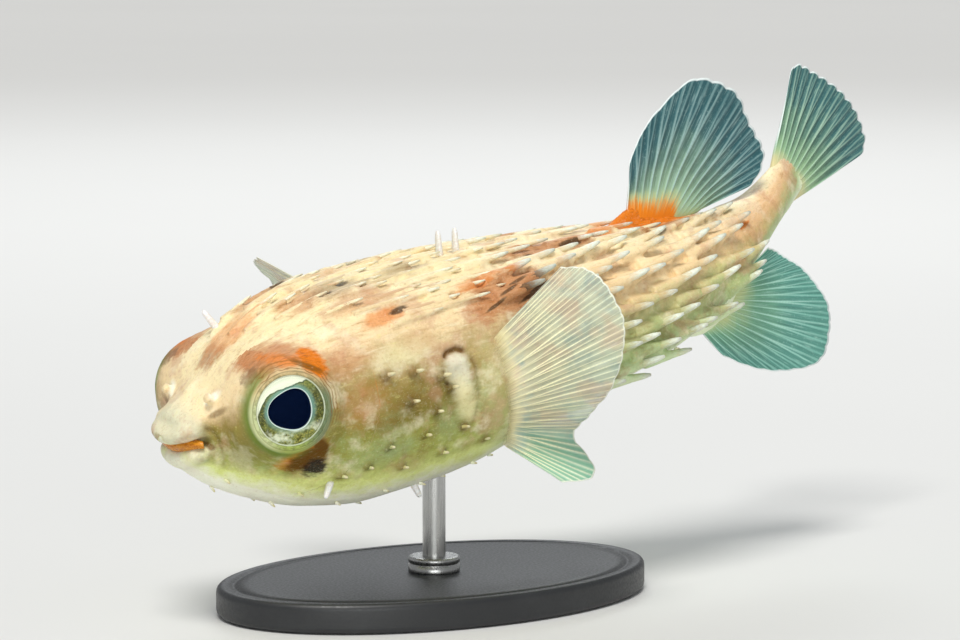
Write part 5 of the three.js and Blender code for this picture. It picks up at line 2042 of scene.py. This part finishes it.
@dataclass
class Fins:
    """All the fins."""

    body: Body

    def all(self) -> list[Fin]:
        """Lists the fins with their sizes and tints.

        Returns:
            The fins.
        """
        dorsal = FinTint(
            "fin_tint_dorsal", (0.52, 0.58, 0.27), (0.38, 0.56, 0.36), (0.04, 0.14, 0.16), (0.4, 0.58, 0.56),
            clear=0.05, blush=(0.8, 0.23, 0.008), blush_reach=0.26,
        )
        anal = FinTint(
            "fin_tint_anal", (0.6, 0.62, 0.28), (0.27, 0.56, 0.33), (0.13, 0.39, 0.32), (0.46, 0.74, 0.64),
            foot_reach=0.34, clear=0.08,
        )
        tail = FinTint(
            "fin_tint_tail", (0.7, 0.62, 0.32), (0.34, 0.54, 0.29), (0.05, 0.17, 0.18), (0.46, 0.66, 0.5),
            foot_reach=0.24, clear=0.05,
        )
        pectoral = FinTint(
            "fin_tint_pectoral", (0.8, 0.7, 0.36), (0.74, 0.7, 0.48), (0.7, 0.78, 0.62), (1.0, 0.96, 0.62),
            margin=(0.8, 0.82, 0.7), margin_width=0.36, foot_reach=0.25, clear=0.45, gap=0.2,
            lobe=(0.15, 0.42, 0.27), melt=0.14, patches=((0.34, 0.48, 0.46), (0.74, 0.56, 0.42)),
        )
        return [
            MedianFin(
                self.body, "fin_dorsal", dorsal, 15, start=101.5, end=119, height=(12.8, 9.6), lean=(24, 90),
                length=(12.5, 22, 30, 30.8, 27.6, 25, 17.5), rounding=0.1, flesh=1.3, flesh_reach=0.42,
            ),
            MedianFin(
                self.body, "fin_anal", anal, 22, start=112, end=126, height=(-9.2, -5.6), lean=(26, 98),
                length=(9, 21.8, 30.8, 28.8, 22.6, 14.4, 9.4), flesh=0.8, flesh_reach=0.3,
            ),
            TailFin(
                self.body, "fin_tail", tail, 12, ray_steps=16, pleat=0.16, notch=0.5, ray=0.26, rounding=0.13,
                flesh=0.9, flesh_reach=0.6,
            ),
            PectoralFin(
                self.body, "fin_pectoral_left", pectoral, 24, middle=(0.84, -0.54, 0), rise=(0.1, 0, 1),
                swing=(40, 36, 31, 25, 18, 9, -2, -16, -30, -38), tilt=(9, 12, 14, 15, 17, 16, 5, -14, 4, 24),
                length=(18, 22.3, 24.4, 25, 23.3, 20.1, 15, 12.7, 17, 13), pleat=0.08, wave=0.25, ray=0.15,
                notch=0.2, rib=0.12, fork=0.06, split=0.25,
            ),
            PectoralFin(
                self.body, "fin_pectoral_right", pectoral, 22, hand=1, middle=(-0.65, 0.55, 0.52),
                rise=(-0.53, -0.82, 0.21), swing=(5, -2, -9, -18, -24, -31, -38, -46, -57, -66),
                tilt=(5, 7, 9, 12, 13, 15, 16, 17, 17, 17), pleat=0.08, wave=0.25, ray=0.15,
                length=(22, 23.5, 24.4, 25.2, 25.7, 25.7, 25, 22, 17, 12),
            ),
        ]


@dataclass
class Stand:
    """The plain display stand: an oval base, a rod and the collar at its foot."""

    length: float = 82.0
    width: float = 52.0
    height: float = 5.0
    rod_radius: float = 2.0
    rod_top: float = 24.0
    collar_radius: float = 4.5
    collar_height: float = 2.4
    gap: float = 0.3
    base_edge: float = 1.1
    collar_edge: float = 0.5
    rod_sunk: float = 1.0
    collar_sunk: float = 0.2
    quarter_steps: int = 9
    inner_rings: int = 4
    bead: Profile = ((2.6, 0.0), (3.0, 0.35), (3.6, 0.35), (4.0, 0.0))
    groove: Profile = ((0.0, 1.5), (0.25, 1.35), (0.25, 1.15), (0.0, 1.0))

    def turned(self, profile: Iterable[tuple[float, float]], steps: int, squeeze: float = 1.0) -> Form:
        """Turns a profile of radii and heights about the upright axis, squeezed in depth."""
        ring = stacked(np.cos(circle(steps)), squeeze * np.sin(circle(steps)), 1.0)
        return lattice(np.asarray([ring * (radius, radius, height) for radius, height in profile]))

    def rounded(self, radius: float, low: float, high: float, edge: float) -> list[tuple[float, float]]:
        """The profile of a disc with rounded edges.

        Args:
            radius: The disc's radius.
            low: The height of its underside.
            high: The height of its top.
            edge: The radius of its edges.

        Returns:
            Radii and heights.
        """
        quarter = np.linspace(0, math.pi / 2, self.quarter_steps)
        below = [(radius - edge + edge * math.sin(a), low + edge - edge * math.cos(a)) for a in quarter]
        above = [(radius - edge + edge * math.cos(a), high - edge + edge * math.sin(a)) for a in quarter]
        inner = [(radius * share, high) for share in (0.85, 0.5, 0.2, 0.01)]
        return [(radius * 0.01, low), (radius * 0.6, low), *below, *above, *inner]

    def build(self, workshop: Workshop) -> None:
        """Makes the base, the rod and the collar."""
        paint, steel = Metal.PAINTED.material(), Metal.BRUSHED.material()
        half = self.length / 2
        base = self.rounded(half, 0.0, self.height, self.base_edge)
        bead = [(half - out, self.height - down) for out, down in self.bead]
        base = base[: -self.inner_rings] + bead + base[-self.inner_rings :]
        foot = self.turned(base, 128, self.width / self.length)
        workshop.piece("stand_foot", foot, paint, "stand", ["stand_base"], True)
        heights = [self.height - self.rod_sunk, *np.linspace(self.height, self.rod_top, 12)]
        upright = self.turned([(self.rod_radius, height) for height in heights], 40)
        workshop.piece("stand_upright", upright, steel, "stand", ["stand_rod"], True)
        top = self.height + self.gap + self.collar_height
        collar = self.rounded(self.collar_radius, self.height - self.collar_sunk, top, self.collar_edge)
        groove = [(self.collar_radius - inward, top - down) for inward, down in self.groove]
        below = self.quarter_steps + 2
        collar = collar[:below] + groove + collar[below:]
        workshop.piece("stand_ring", self.turned(collar, 64), steel, "stand", ["stand_collar"], True)


class LampKind(Enum):
    """A far light with even rays, or a near square one."""

    FAR = "SUN"
    NEAR = "AREA"


@dataclass(frozen=True)
class Lamp:
    """A soft light: its name, kind, place in metres, width in degrees or metres, power and tint."""

    name: str
    kind: LampKind
    place: tuple[float, float, float]
    width: float
    power: float
    tint: Colour = (1.0, 1.0, 1.0)

    def hang(self, target: Vector) -> None:
        """Hangs the lamp up, aimed at a target."""
        data = bpy.data.lights.new(self.name, self.kind.value)
        data.energy = self.power
        data.color = self.tint
        if self.kind is LampKind.FAR:
            data.angle = math.radians(self.width)
        else:
            data.shape = "SQUARE"
            data.size = self.width
        light = placed(self.name, data)
        light.location = self.place
        light.rotation_euler = (target - light.location).to_track_quat("-Z", "Y").to_euler()


@dataclass
class Studio:
    """The pale floor, the soft lights and the camera."""

    azimuth: float = -34.0
    elevation: float = 7.0
    target: tuple[float, float, float] = (0.0096, 0.0, 0.0481)
    distance: float = 0.7
    lens: float = 151.35
    floor_size: float = 14.0
    floor_level: float = -0.0002
    floor_tone: Colour = (0.72, 0.72, 0.71)
    sky: Colour = (0.86, 0.88, 0.9)
    sky_strength: float = 0.4
    lamps: tuple[Lamp, ...] = (
        Lamp("key_light", LampKind.FAR, (-0.55, -0.55, 1.5), 22.0, 2.24, (1.0, 0.985, 0.95)),
        Lamp("low_light", LampKind.NEAR, (-0.45, -0.8, 0.03), 0.6, 4.4, (0.97, 1.0, 0.98)),
        Lamp("back_light", LampKind.NEAR, (0.55, 0.75, 0.75), 0.5, 3.0, (0.93, 0.97, 1.0)),
    )

    def floor(self) -> None:
        """Lays the pale floor."""
        half = self.floor_size / 2
        mesh = bpy.data.meshes.new("floor")
        corners = [(x * half, y * half, self.floor_level) for x, y in ((-1, -1), (1, -1), (1, 1), (-1, 1))]
        mesh.from_pydata(corners, [], [(0, 1, 2, 3)])
        floor = placed("floor", mesh)
        finish = Finish("floor_plaster")
        place = finish.node("ShaderNodeTexCoord", {}, {}).outputs["Object"]
        cloud = finish.noise(place, 3.0, 4.0).ease(0.3, 0.7)
        colour = finish.mix(cloud, self.floor_tone, toned(self.floor_tone, 0.985))
        floor.data.materials.append(finish.dressed({"Base Color": colour, "Roughness": 0.7}))

    def light(self) -> None:
        """Sets the sky and the lamps."""
        world = bpy.data.worlds.new("studio")
        world.use_nodes = True
        background = world.node_tree.nodes["Background"]
        background.inputs["Color"].default_value = (*self.sky, 1.0)
        background.inputs["Strength"].default_value = self.sky_strength
        bpy.context.scene.world = world
        bpy.context.scene.view_settings.view_transform = "Standard"
        for lamp in self.lamps:
            lamp.hang(Vector(self.target))

    def camera(self) -> None:
        """Sets up the camera, level and square to the fish's left front."""
        turn, tilt = math.radians(self.azimuth), math.radians(self.elevation)
        away = Vector((math.sin(turn) * math.cos(tilt), -math.cos(turn) * math.cos(tilt), math.sin(tilt)))
        data = bpy.data.cameras.new("camera")
        data.lens = self.lens
        data.sensor_width = 36.0
        data.clip_start = 0.01
        camera = placed("camera", data)
        camera.location = Vector(self.target) + away * self.distance
        camera.rotation_euler = (-away).to_track_quat("-Z", "Y").to_euler()
        bpy.context.scene.camera = camera

    def build(self) -> None:
        """Sets up floor, lights and camera."""
        self.floor()
        self.light()
        self.camera()


def main() -> None:
    """Builds the fish, its stand and the studio."""
    logging.basicConfig(level=logging.INFO, format="%(message)s", stream=sys.stdout)
    spine = Spine()
    body = Body(spine)
    workshop = Workshop(spine)
    hide = Hide()
    coat = Coat(body, np.random.default_rng(7)).grow()
    mouth = Mouth()
    Skin(body, mouth).build(workshop, hide, coat)
    studs = hide.spiny("hide_studs", 0.4, hide.stud)
    spiny = {
        "quills_nape": hide.spiny("hide_quills_nape", 0.6, hide.nape_quill),
        "quills_flanks": hide.spiny("hide_quills_flanks", 0.56, hide.quill),
        "studs_cheeks": studs,
        "spikes_belly": studs,
        "spines_erect": hide.spiny("hide_spines", 0.05, hide.spine),
    }
    for name, quills in coat.items():
        workshop.piece(name, join(quill.form(body) for quill in quills), spiny[name], "skin")
    mouth.build(workshop)
    glass = EyeGlass()
    globe, dome = glass.globe(), glass.dome()
    for hand in (-1, 1):
        Eye(body, hand).build(workshop, globe, dome)
    for fin in Fins(body).all():
        fin.build(workshop)
    Stand().build(workshop)
    Studio().build()


if __name__ == "__main__":
    main()
